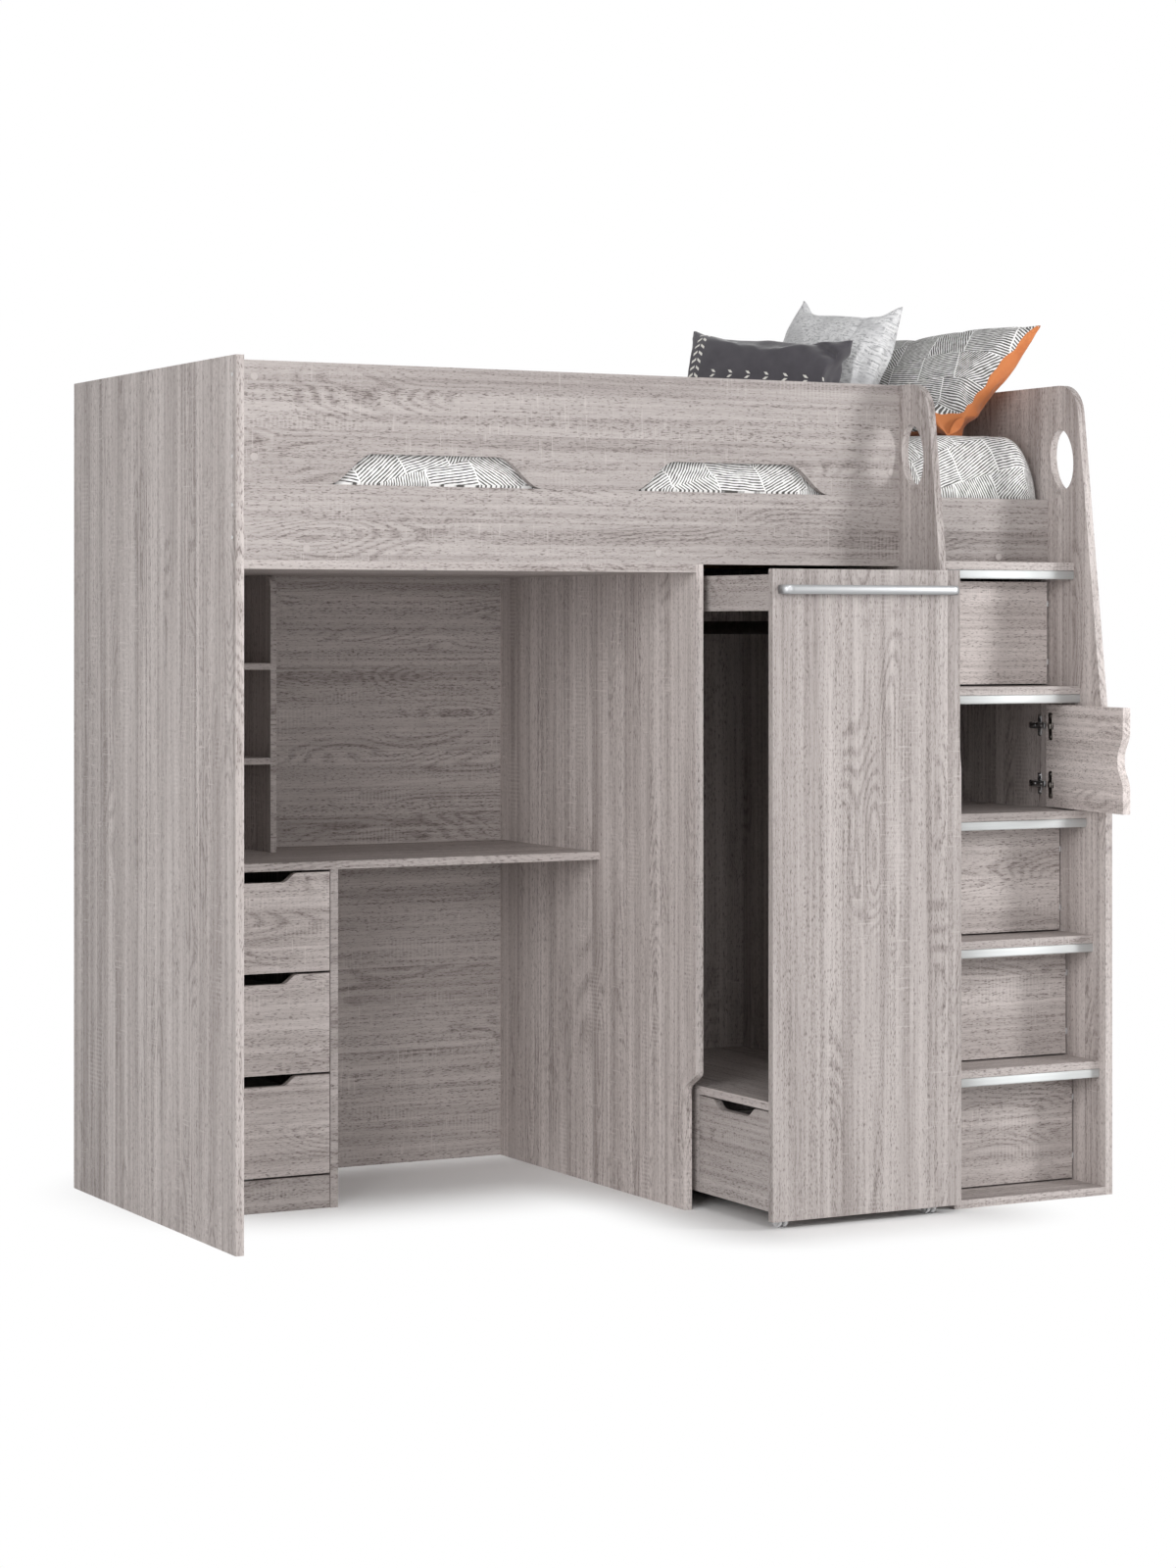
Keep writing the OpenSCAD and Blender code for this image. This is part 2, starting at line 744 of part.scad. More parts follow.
// Two sides, a back and a floor, open at y = 0 where the drawer's front closes them
module drawer_box(w, l) {
    t = box_board_t;
    a = t + board_seam;
    block([0, 0, 0], [t, l, drawer_box_h]);
    block([w - t, 0, 0], [w, l, drawer_box_h]);
    block([a, l - t, 0], [w - a, l, drawer_box_h]);
    block([a, 0, 0], [w - a, l - a, drawer_floor_t]);
}

module desk_drawer_box(k) {
    color(oak_dark_colour) placed()
        translate([board_t + runner_w + slide_gap, drawer_front_y + board_t,
            desk_drawer_z(k) + drawer_box_foot])
            drawer_box(pedestal_w - 2 * (runner_w + slide_gap), drawer_box_l);
}

// Runner of length l against a wall at x = 0, with a ledge just under the drawer box
module runner(l) {
    union() {
        block([0, 0, 0], [runner_w, l, runner_h]);
        block([0, 0, 0], [runner_w + runner_ledge_w, l, runner_ledge_t]);
    }
}

module desk_drawer_runners() {
    y = drawer_front_y + board_t + runner_front_gap;
    color(metal_colour) placed()
        for (k = [1:drawer_count])
            let (z = desk_drawer_z(k) + drawer_box_foot - runner_ledge_t - slide_gap) {
                translate([board_t, y, z]) runner(runner_l);
                translate([pedestal_x, y, z]) mirror([1, 0, 0]) runner(runner_l);
            }
}

module wardrobe_front_panel() {
    color(oak_colour) placed()
        block([front_x, front_y, front_foot_z], [front_end_x, front_back_y, front_top_z]);
}

module wardrobe_rear_panel() {
    color(oak_colour) placed()
        block([body_x, body_back_y, castor_h], [body_end_x, body_rear_y, body_top_z]);
}

module wardrobe_top_boards() {
    z = body_top_z - board_t;
    color(oak_colour) placed() {
        block([body_x, front_back_y, z], [body_end_x, body_back_y, body_top_z]);
        block([body_x, front_back_y, z - apron_h], [body_x + board_t, body_back_y, z - board_seam]);
    }
}

module wardrobe_right_side() {
    color(oak_colour) placed()
        block([body_end_x - board_t, front_back_y, castor_h],
            [body_end_x, body_back_y, body_top_z - board_t]);
}

module wardrobe_base() {
    color(oak_colour) placed()
        block([body_x + board_t + touch_gap, front_back_y, castor_h],
            [body_end_x - board_t, body_back_y, base_top_z]);
}

module wardrobe_shelf() {
    color(oak_colour) placed()
        block([body_x, front_back_y, shelf_z], [body_end_x - board_t, body_back_y, shelf_z + board_t]);
}

// The board behind the drawer on the open side, and the divider that carries a runner
module wardrobe_lower_boards() {
    color(oak_colour) placed() {
        block([body_x, divider_y, castor_h], [body_x + board_t, body_back_y, shelf_z]);
        block([body_x + board_t + board_seam, divider_y, base_top_z],
            [body_end_x - board_t, divider_y + board_t, shelf_z]);
    }
}

// Oval tube or ring along Y with its middle on the hanging rail's line
module rail_section(y, l, grow) {
    outline = moved(oval(rail_tube_w + 2 * grow, rail_tube_h + 2 * grow), [body_mid_x, rail_tube_z]);
    upright_xz(y, l, outline);
}

module hanging_rail() {
    color(dark_metal_colour) placed() difference() {
        rail_section(front_back_y, body_back_y - front_back_y, 0);
        rail_section(front_back_y - 1, body_back_y - front_back_y + 2, -1.5);
    }
}

module rail_sockets() {
    color(metal_colour) placed()
        for (y = [front_back_y, body_back_y - socket_d])
            difference() {
                rail_section(y, socket_d, socket_wall);
                rail_section(y - 1, socket_d + 2, shaft_gap);
            }
}

// Bow with its feet flat on the front panel
module wardrobe_handle() {
    a = (front_x + front_end_x - handle_l) / 2;
    b = a + handle_l;
    y = front_y - handle_out;
    r = handle_corner_r;
    inner_r = r - handle_t;
    outline = concat([[a, front_y]], arc(a + r, y + r, r, 180, 270), arc(b - r, y + r, r, 270, 360),
        [[b, front_y], [b - handle_t, front_y]],
        arc(b - r, y + r, inner_r, 360, 270), arc(a + r, y + r, inner_r, 270, 180),
        [[a + handle_t, front_y]]);
    color(metal_colour) placed()
        translate([0, 0, handle_z - handle_h / 2]) linear_extrude(handle_h) polygon(outline);
}

module castor_frame() {
    plate_z = castor_h - castor_plate_t;
    half_w = castor_web_w / 2;
    half_d = castor_web_d / 2;
    difference() {
        union() {
            translate([-castor_plate_w / 2, -castor_plate_w / 2, plate_z])
                cube([castor_plate_w, castor_plate_w, castor_plate_t]);
            translate([-half_w, -half_d, wheel_d / 2])
                cube([castor_web_w, castor_web_d, plate_z - wheel_d / 2]);
            translate([-half_w, 0, wheel_d / 2]) rotate([0, 90, 0])
                cylinder(d = castor_web_d, h = castor_web_w);
        }
        translate([-half_w - 1, 0, wheel_d / 2]) rotate([0, 90, 0])
            cylinder(d = axle_d + 2 * shaft_gap, h = castor_web_w + 2);
    }
    translate([-axle_l / 2, 0, wheel_d / 2]) rotate([0, 90, 0]) cylinder(d = axle_d, h = axle_l);
}

module castor_frames() {
    color(metal_colour) placed()
        for (k = [1:4])
            translate(castor_at(k)) castor_frame();
}

module castor_wheel() {
    r = wheel_d / 2;
    edge = 1.5;
    bore = axle_d / 2 + shaft_gap;
    rotate([0, 90, 0]) rotate_extrude()
        polygon([[bore, 0], [r - edge, 0], [r, edge], [r, wheel_w - edge], [r - edge, wheel_w],
            [bore, wheel_w]]);
}

// The pair of wheels on castor k
module castor_wheels(k) {
    inner = castor_web_w / 2 + wheel_gap;
    color(plastic_colour) placed() translate(castor_at(k))
        for (x = [inner, -inner - wheel_w])
            translate([x, 0, wheel_d / 2]) castor_wheel();
}

module side_drawer_front() {
    a = front_back_y + side_drawer_gap;
    outline = notched(a, a + side_drawer_w, castor_h, shelf_z - side_drawer_head_gap,
        side_notch_top_w, side_notch_foot_w);
    color(oak_colour) placed() upright_yz(body_x, board_t, outline);
}

module side_drawer_box() {
    gap = runner_w + slide_gap;
    w = divider_y - front_back_y - 2 * gap;
    color(oak_dark_colour) placed()
        translate([body_x + board_t, front_back_y + gap + w, side_box_z]) rotate([0, 0, -90])
            drawer_box(w, side_drawer_l);
}

module side_drawer_runners() {
    x = body_x + board_t + runner_front_gap;
    z = side_box_z - runner_ledge_t - slide_gap;
    l = side_drawer_l - 20;
    color(metal_colour) placed() {
        translate([x, divider_y, z]) rotate([0, 0, -90]) runner(l);
        translate([x, front_back_y, z]) mirror([0, 1, 0]) rotate([0, 0, -90]) runner(l);
    }
}

module mattress() {
    color(cloth_colour) placed() translate([0, 0, mattress_z]) linear_extrude(mattress_t)
        polygon(rounded_rect(mattress_x, mattress_y, mattress_end_x, mattress_end_y, mattress_corner_r));
}

function sorted(v) = len(v) <= 1 ? v :
    let (p = v[floor(len(v) / 2)])
    concat(sorted([for (a = v) if (a < p) a]), [p], sorted([for (a = v) if (a > p) a]));

// Grid lines from a to b: close together over both rounded edges, with one line each side of
// the mattress edges at m and n
function grid_lines(a, b, round, m, n, inner) =
    let (turns = [for (i = [0:5]) round * (1 - cos(18 * i))])
    sorted(concat([for (t = turns) a + t], [for (t = turns) b - t],
        [m - duvet_step_w, m, n, n + duvet_step_w], [for (i = [1:inner]) a + (b - a) * i / (inner + 1)]));

// Height of the duvet's top, which falls as a quarter ellipse towards each edge
function duvet_z(x, y) =
    let (a = max(0, 1 - min(x - duvet_x[0], duvet_x[1] - x) / duvet_end_round),
         b = max(0, 1 - min(y - duvet_y[0], duvet_y[1] - y) / duvet_side_round),
         r = min(1, sqrt(a * a + b * b)),
         u = (2 * x - duvet_x[0] - duvet_x[1]) / (duvet_x[1] - duvet_x[0]),
         v = (2 * y - duvet_y[0] - duvet_y[1]) / (duvet_y[1] - duvet_y[0]))
    duvet_top_z + duvet_crown * max(0, 1 - pow(u, 4)) * max(0, 1 - pow(v, 4))
        - (duvet_top_z - duvet_foot_z - duvet_edge_t) * (1 - sqrt(1 - r * r));

// Closed cover over the mattress: a crowned top with its sides hanging past the mattress
module duvet() {
    x0 = duvet_x[0];
    x1 = duvet_x[1];
    y0 = duvet_y[0];
    y1 = duvet_y[1];
    mx0 = mattress_x - soft_gap;
    mx1 = mattress_end_x + soft_gap;
    my0 = mattress_y - soft_gap;
    my1 = mattress_end_y + soft_gap;
    xs = grid_lines(x0, x1, duvet_end_round, mx0, mx1, 5);
    ys = grid_lines(y0, y1, duvet_side_round, my0, my1, 9);
    nx = len(xs);
    ny = len(ys);
    count = nx * ny;
    top = [for (x = xs, y = ys) [x, y, duvet_z(x, y)]];
    under = [for (x = xs, y = ys)
        [x, y, x >= mx0 && x <= mx1 && y >= my0 && y <= my1 ? mattress_top_z + soft_gap : duvet_foot_z]];
    quads = [for (i = [0:nx - 2], j = [0:ny - 2])
        [i * ny + j, i * ny + j + 1, (i + 1) * ny + j + 1, (i + 1) * ny + j]];
    rim = concat([for (j = [0:ny - 2]) [j, j + 1]],
        [for (i = [0:nx - 2]) [i * ny + ny - 1, (i + 1) * ny + ny - 1]],
        [for (j = [ny - 1:-1:1]) [(nx - 1) * ny + j, (nx - 1) * ny + j - 1]],
        [for (i = [nx - 1:-1:1]) [i * ny, (i - 1) * ny]]);
    faces = concat(
        [for (q = quads) each [[q[0], q[1], q[2]], [q[0], q[2], q[3]]]],
        [for (q = quads)
            each [[q[2] + count, q[1] + count, q[0] + count], [q[3] + count, q[2] + count, q[0] + count]]],
        [for (e = rim) each [[e[0], e[0] + count, e[1] + count], [e[0], e[1] + count, e[1]]]]);
    color(cloth_colour) placed() polyhedron(points = concat(top, under), faces = faces);
}

// Point of a pillow's front (side = 1) or back (side = -1) at u and v from -1 to 1: the sides
// draw in between the corners, and the faces crown towards the middle
function pillow_point(size, u, v, side) =
    let (pull = 0.07, crown = pow((1 - u * u) * (1 - v * v), 0.5))
    [size[0] / 2 * u * (1 - pull * (1 - v * v)), size[1] / 2 * v * (1 - pull * (1 - u * u)),
     side * size[2] / 2 * crown];

// Roll in its own plane, lean back, then turn about the upright
function pillow_turned(p, pose) =
    let (r = pose[2], lean = 90 - pose[0], t = pose[1],
         a = [p.x * cos(r) - p.y * sin(r), p.x * sin(r) + p.y * cos(r), p.z],
         b = [a.x, a.y * cos(lean) - a.z * sin(lean), a.y * sin(lean) + a.z * cos(lean)])
    [b.x * cos(t) - b.y * sin(t), b.x * sin(t) + b.y * cos(t), b.z];

// Pillow that stands on the duvet's surface with its middle over the given place
module pillow(size, place, pose) {
    n = pillow_steps;
    m = n + 1;
    front = [for (i = [0:n], j = [0:n]) pillow_point(size, 2 * i / n - 1, 2 * j / n - 1, 1)];
    back = [for (i = [1:n - 1], j = [1:n - 1]) pillow_point(size, 2 * i / n - 1, 2 * j / n - 1, -1)];
    points = [for (p = concat(front, back)) pillow_turned(p, pose)];
    foot = min([for (p = points) p.z - duvet_z(p.x + place.x, p.y + place.y)]);
    function ahead(i, j) = i * m + j;
    function behind(i, j) =
        i == 0 || j == 0 || i == n || j == n ? ahead(i, j) : m * m + (i - 1) * (n - 1) + j - 1;
    // Each cell is split along the diagonal that points at the pillow's nearest corner
    function split(q, other) = other ? [[q[0], q[1], q[3]], [q[1], q[2], q[3]]]
        : [[q[0], q[1], q[2]], [q[0], q[2], q[3]]];
    cells = [for (i = [0:n - 1], j = [0:n - 1]) [i, j, (i < n / 2) != (j < n / 2)]];
    faces = concat(
        [for (c = cells) each split([ahead(c[0], c[1]), ahead(c[0], c[1] + 1),
            ahead(c[0] + 1, c[1] + 1), ahead(c[0] + 1, c[1])], c[2])],
        [for (c = cells) each split([behind(c[0] + 1, c[1] + 1), behind(c[0], c[1] + 1),
            behind(c[0], c[1]), behind(c[0] + 1, c[1])], c[2])]);
    translate([place.x, place.y, soft_gap - foot]) polyhedron(points = points, faces = faces);
}

module bed_pillow() {
    color(cloth_colour) placed() pillow(bed_pillow_size, bed_pillow_place, bed_pillow_pose);
}

module light_cushion() {
    color(cloth_colour) placed() pillow(light_cushion_size, light_cushion_place, light_cushion_pose);
}

module dark_cushion() {
    color(dark_cloth_colour) placed() pillow(dark_cushion_size, dark_cushion_place, dark_cushion_pose);
}

left_end_panel();
right_end_panel();
stair_side_panel();
rear_strips();
guard_board();
front_side_rail();
rear_boards();
slat_base();
ceiling_boards();
partition_panel();
back_panels();
desk_top();
pedestal_boards();
bookcase_boards();
stair_treads();
tread_bars();
stair_base_board();
hinge_mounts();
cover_caps();
panel_screws();
desk_drawer_runners();
mattress();
duvet();
bed_pillow();
light_cushion();
dark_cushion();
cupboard_door(1);  // cupboard_door_1
cupboard_door(2);  // cupboard_door_2
cupboard_door(3);  // cupboard_door_3
cupboard_door(4);  // cupboard_door_4
cupboard_door(5);  // cupboard_door_5
hinge_cups(1);  // hinge_cups_1
hinge_cups(2);  // hinge_cups_2
hinge_cups(3);  // hinge_cups_3
hinge_cups(4);  // hinge_cups_4
hinge_cups(5);  // hinge_cups_5
desk_drawer_front(1);  // desk_drawer_front_1
desk_drawer_front(2);  // desk_drawer_front_2
desk_drawer_front(3);  // desk_drawer_front_3
desk_drawer_box(1);  // desk_drawer_box_1
desk_drawer_box(2);  // desk_drawer_box_2
desk_drawer_box(3);  // desk_drawer_box_3
wardrobe_front_panel();
wardrobe_rear_panel();
wardrobe_top_boards();
wardrobe_right_side();
wardrobe_base();
wardrobe_shelf();
wardrobe_lower_boards();
hanging_rail();
rail_sockets();
wardrobe_handle();
castor_frames();
castor_wheels(1);  // castor_wheels_1
castor_wheels(2);  // castor_wheels_2
castor_wheels(3);  // castor_wheels_3
castor_wheels(4);  // castor_wheels_4
side_drawer_front();
side_drawer_box();
side_drawer_runners();
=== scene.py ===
import functools
import math

import bpy
import numpy as np
from bpy.props import FloatProperty, FloatVectorProperty, PointerProperty
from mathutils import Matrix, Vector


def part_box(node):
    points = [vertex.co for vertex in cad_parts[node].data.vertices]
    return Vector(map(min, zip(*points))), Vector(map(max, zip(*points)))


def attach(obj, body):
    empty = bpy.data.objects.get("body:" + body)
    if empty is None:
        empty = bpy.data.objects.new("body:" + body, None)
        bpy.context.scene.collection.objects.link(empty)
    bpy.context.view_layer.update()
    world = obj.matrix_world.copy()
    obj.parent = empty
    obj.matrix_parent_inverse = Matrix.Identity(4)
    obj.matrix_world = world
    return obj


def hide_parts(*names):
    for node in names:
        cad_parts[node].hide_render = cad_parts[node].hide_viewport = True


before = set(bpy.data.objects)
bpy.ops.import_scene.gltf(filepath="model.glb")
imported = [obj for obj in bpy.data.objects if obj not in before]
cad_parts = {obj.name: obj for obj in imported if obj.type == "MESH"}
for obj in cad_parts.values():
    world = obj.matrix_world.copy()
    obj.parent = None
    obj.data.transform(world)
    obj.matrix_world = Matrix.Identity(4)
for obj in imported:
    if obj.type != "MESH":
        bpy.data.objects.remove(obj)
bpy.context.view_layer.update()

bl_info = {
    "name": "High Sleeper Bed",
    "version": (1, 0, 0),
    "blender": (4, 5, 0),
    "location": "View3D > Sidebar > Sleeper",
    "description": "Finishes the boards, fittings and bedding of a high sleeper bed and lights it",
    "category": "Object",
}

# Foot of the left end panel's outer face, in the plane of the front rail
CORNER = np.array([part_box("left_end_panel")[0].x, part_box("front_side_rail")[0].y, 0.0])
DOORS = range(1, 6)
DRAWERS = range(1, 4)
OPEN_DOOR, OPEN_DEGREES = 2, 80
WHITE = (1, 1, 1, 1)
# Growth lines over the whole range of the figure noise
GROWTH_LINES = 14
# In millimetres: a tread bar's section, how far the duvet's edges are rounded at its ends and its
# sides, and how far right of the left end the middles of the guard's cut-outs are
BAR_DEEP, BAR_HIGH = 12, 20
DUVET_ROUNDS = (85, 45)
CUTOUTS = (452, 1170)

# Board nodes by the way their grain runs
GRAIN = {
    "upright": ["left_end_panel", "right_end_panel", "stair_side_panel", "rear_strips",
                "partition_panel", "wardrobe_front_panel", "wardrobe_rear_panel",
                "wardrobe_right_side"],
    "long": ["guard_board", "front_side_rail", "rear_boards", "ceiling_boards", "back_panels",
             "desk_top", "stair_treads", "stair_base_board", "pedestal_boards",
             "bookcase_boards", "cupboard_door_1", "cupboard_door_3", "cupboard_door_4",
             "cupboard_door_5", "desk_drawer_front_1", "desk_drawer_front_2",
             "desk_drawer_front_3"],
    "deep": ["wardrobe_top_boards", "wardrobe_base", "wardrobe_shelf", "wardrobe_lower_boards",
             "side_drawer_front"],
    "open_door": ["cupboard_door_2"],
}
# Painted light and shade: each board's colour is made paler, above 1, or darker, below 1
PAINTED_LIGHT = {"guard_board": 0.87, "front_side_rail": 0.87, "wardrobe_front_panel": 0.89,
         "wardrobe_top_boards": 0.84, "side_drawer_front": 0.86, "cupboard_door_1": 1.34,
         "cupboard_door_2": 1.46, "cupboard_door_3": 1.14, "cupboard_door_4": 1.12,
         "cupboard_door_5": 1.07, "desk_drawer_front_1": 1.26, "desk_drawer_front_2": 1.25,
         "desk_drawer_front_3": 1.23, "partition_panel": 1.2, "right_end_panel": 1.1,
         "stair_side_panel": 0.97, "left_end_panel": 1.05}
# Turn that brings each grain onto the pattern's first axis
GRAIN_TURN = {"long": (0, 0, 0), "deep": (0, 0, -90), "upright": (0, 90, 0),
              "open_door": (0, 0, -OPEN_DEGREES)}


def place(*millimetres):
    """Place in metres from millimetres right of the left end, behind the rail's front and up."""
    return CORNER + np.array(millimetres, float) / 1000


def box(node):
    """Low and high corner of a node's box."""
    return np.array([list(v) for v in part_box(node)])


def span(node, gap=0.0):
    """Low and high corner of a node's box let out by a gap, in the millimetres that place takes."""
    return np.round((box(node) - CORNER) * 1000 + [[-gap], [gap]], 3)


def step(k):
    """Front and top of stair step k of five, counted from the top, in millimetres."""
    low, high = span("tread_bars")
    first = np.array([high[1] - BAR_DEEP, high[2]])
    last = np.array([low[1], low[2] + BAR_HIGH])
    return np.round(first + (last - first) * (k - 1) / 4, 3)


def linear(colour):
    """Linear red, green, blue and alpha of an sRGB hex value."""
    parts = np.array([int(colour[i:i + 2], 16) for i in (1, 3, 5)]) / 255
    parts = np.where(parts <= 0.04045, parts / 12.92, ((parts + 0.055) / 1.055) ** 2.4)
    return (*parts.tolist(), 1.0)


def feed(socket, to):
    """Links an output to an input."""
    to.id_data.links.new(socket, to)


def add_node(tree, kind, *inputs, out=None, to=None, **settings):
    """Adds a node with its settings and gives back one output, the first shown unless named.

    The kind may carry its operation or data type. Inputs come in the order that they are shown
    in, or by name in a dict, and a socket among them is linked. The output also feeds `to`.
    """
    kind, _, choice = kind.partition(" ")
    added = tree.nodes.new("ShaderNode" + kind)
    if choice:
        settings["data_type" if kind == "Mix" else "operation"] = choice
    for name, value in settings.items():
        setattr(added, name, value)
    if inputs and isinstance(inputs[0], dict):
        inputs = inputs[0]
    else:
        inputs = dict(zip([i for i, s in enumerate(added.inputs) if s.enabled], inputs))
    for key, value in inputs.items():
        if isinstance(value, bpy.types.NodeSocket):
            feed(value, added.inputs[key])
        else:
            added.inputs[key].default_value = value
    given = added.outputs[out] if out else next((s for s in added.outputs if s.enabled), None)
    if to is not None:
        feed(given, to)
    return given


def new_material(name, **constants):
    """Material, its add_node and the inputs of its Principled shader, which hold the constants."""
    material = bpy.data.materials.new(name)
    material.use_nodes = True
    shader = next(n for n in material.node_tree.nodes if n.type == "BSDF_PRINCIPLED").inputs
    for key, value in constants.items():
        shader[key.replace("_", " ")].default_value = value
    return material, functools.partial(add_node, material.node_tree), shader


# Surfaces


def about_z(turn):
    """Matrix that turns points about the upright axis by an angle in radians."""
    return np.array([[math.cos(turn), -math.sin(turn), 0],
                     [math.sin(turn), math.cos(turn), 0], [0, 0, 1]])


def add_object(name, data):
    """Object in the scene for a mesh, lamp or camera."""
    made = bpy.data.objects.new(name, data)
    bpy.context.scene.collection.objects.link(made)
    return made


def grid_faces(rows, columns, closed=False, start=0):
    """Quads between neighbouring rows and columns of a grid numbered row by row."""
    i = np.arange(rows - 1)[:, None]
    j = np.arange(columns if closed else columns - 1)[None, :]
    k = (j + 1) % columns
    quads = np.stack([i * columns + j, i * columns + k, (i + 1) * columns + k,
                      (i + 1) * columns + j], axis=-1)
    return quads.reshape(-1, 4) + start


def add_piece(name, shells, materials, body, replaces=(), uv=None, smooth=True):
    """Joins shells of (points, list of face arrays, material index) into one piece.

    Face arrays hold quads, triangles or whole caps as rows of vertex numbers of their shell.
    """
    points, faces, marks, count = [], [], [], 0
    for shell_points, groups, mark in shells:
        shell_points = np.asarray(shell_points, float).reshape(-1, 3)
        for group in groups:
            group = np.asarray(group) + count
            faces += group.tolist()
            marks += [mark] * len(group)
        points.append(shell_points)
        count += len(shell_points)
    mesh = bpy.data.meshes.new(name)
    mesh.from_pydata(np.concatenate(points).tolist(), [], faces)
    mesh.polygons.foreach_set("material_index", np.array(marks, np.int32))
    mesh.polygons.foreach_set("use_smooth", np.full(len(marks), smooth))
    for material in materials:
        mesh.materials.append(material)
    if uv is not None:
        corners = np.empty(len(mesh.loops), np.int32)
        mesh.loops.foreach_get("vertex_index", corners)
        layer = mesh.uv_layers.new(name="flat")
        layer.data.foreach_set("uv", np.asarray(uv, np.float32)[corners].ravel())
    if mesh.validate():
        raise RuntimeError(f"{name} has faces that don't close")
    mesh.update()
    piece = add_object(name, mesh)
    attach(piece, body)
    if replaces:
        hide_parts(*replaces)
    return piece


def capped_rings(rings):
    """Shell from rings of equal length, each one closed, with a flat cap at both ends."""
    rings = np.asarray(rings, float)
    n, m, _ = rings.shape
    ends = [np.arange(m)[::-1][None, :], (np.arange(m) + (n - 1) * m)[None, :]]
    return rings.reshape(-1, 3), [grid_faces(n, m, closed=True)] + ends, 0


def outwards(shell):
    """Turns a closed shell's faces round where its signed volume is negative."""
    points, groups, mark = shell
    volume = 0.0
    for group in groups:
        corners = points[np.asarray(group)]
        for a in range(1, corners.shape[1] - 1):
            volume += np.einsum("ij,ij->", corners[:, 0],
                                np.cross(corners[:, a], corners[:, a + 1]))
    return shell if volume > 0 else (points, [np.asarray(g)[:, ::-1] for g in groups], mark)


def rounded_outline(half_u, half_v, radius, steps=6):
    """Rectangle with rounded corners: corner centre plus radius·(cos a, sin a), a from 0 to 360."""
    radius = max(min(radius, half_u, half_v), 1e-6)
    turns = np.linspace(0, math.pi / 2, steps)
    parts = []
    for i, (su, sv) in enumerate(((1, 1), (-1, 1), (-1, -1), (1, -1))):
        a = turns + i * math.pi / 2
        parts.append(np.stack([su * (half_u - radius) + radius * np.cos(a),
                               sv * (half_v - radius) + radius * np.sin(a)], axis=1))
    return np.concatenate(parts)


def rounded_block(low, high, axis, corner, edge, steps=4):
    """Block with its outline's corners rounded across an axis and both its rims rounded.

    The outline draws in by edge·(1 − sin a) while its height rises by edge·(1 − cos a).
    """
    low, high = np.asarray(low, float), np.asarray(high, float)
    middle, half = (low + high) / 2, (high - low) / 2
    u, v = [(1, 2), (2, 0), (0, 1)][axis]
    a = np.linspace(0, math.pi / 2, steps)
    inset, rise = edge * (1 - np.sin(a)), edge * (1 - np.cos(a))
    rings = []
    for d, h in list(zip(inset, rise)) + list(zip(inset[::-1], 2 * half[axis] - rise[::-1])):
        outline = rounded_outline(half[u] - d, half[v] - d, corner - d)
        ring = np.zeros((len(outline), 3))
        ring[:, axis] = low[axis] + h
        ring[:, u] = middle[u] + outline[:, 0]
        ring[:, v] = middle[v] + outline[:, 1]
        rings.append(ring)
    return outwards(capped_rings(rings))


def turned_shape(centre, axis, profile, steps=32):
    """Profile of (distance along the axis, radius) carried once round the axis."""
    profile = np.asarray(profile, float)
    u, v = [(1, 2), (2, 0), (0, 1)][axis]
    a = np.linspace(0, 2 * math.pi, steps, endpoint=False)
    rings = np.zeros((len(profile), steps, 3))
    rings[:, :, axis] = profile[:, :1]
    rings[:, :, u] = profile[:, 1:] * np.cos(a)
    rings[:, :, v] = profile[:, 1:] * np.sin(a)
    return outwards(capped_rings(rings + np.asarray(centre, float)))


def swept(path, across, up, profile):
    """Profile of (across, up) offsets carried along a path: point + a·across + b·up."""
    path, across = np.asarray(path, float), np.asarray(across, float)
    profile = np.asarray(profile, float)
    rings = (path[:, None, :] + profile[None, :, :1] * across[:, None, :]
             + profile[None, :, 1:] * np.asarray(up, float))
    return outwards(capped_rings(rings))


def value_noise(x, y, size, seed):
    """Smooth noise from −1 to 1: random numbers on a lattice, blended by 3t² − 2t³."""
    table = np.random.default_rng(seed).uniform(-1, 1, (64, 64))
    fx, fy = x / size, y / size
    i, j = np.floor(fx).astype(int), np.floor(fy).astype(int)
    tx, ty = fx - i, fy - j
    tx, ty = tx * tx * (3 - 2 * tx), ty * ty * (3 - 2 * ty)
    a = table[i % 64, j % 64] * (1 - tx) + table[(i + 1) % 64, j % 64] * tx
    b = table[i % 64, (j + 1) % 64] * (1 - tx) + table[(i + 1) % 64, (j + 1) % 64] * tx
    return a * (1 - ty) + b * ty


def ramp(value, low, high):
    """0 below low and 1 above high, with 3t² − 2t³ between them."""
    t = np.clip((value - low) / (high - low), 0, 1)
    return t * t * (3 - 2 * t)


# Materials


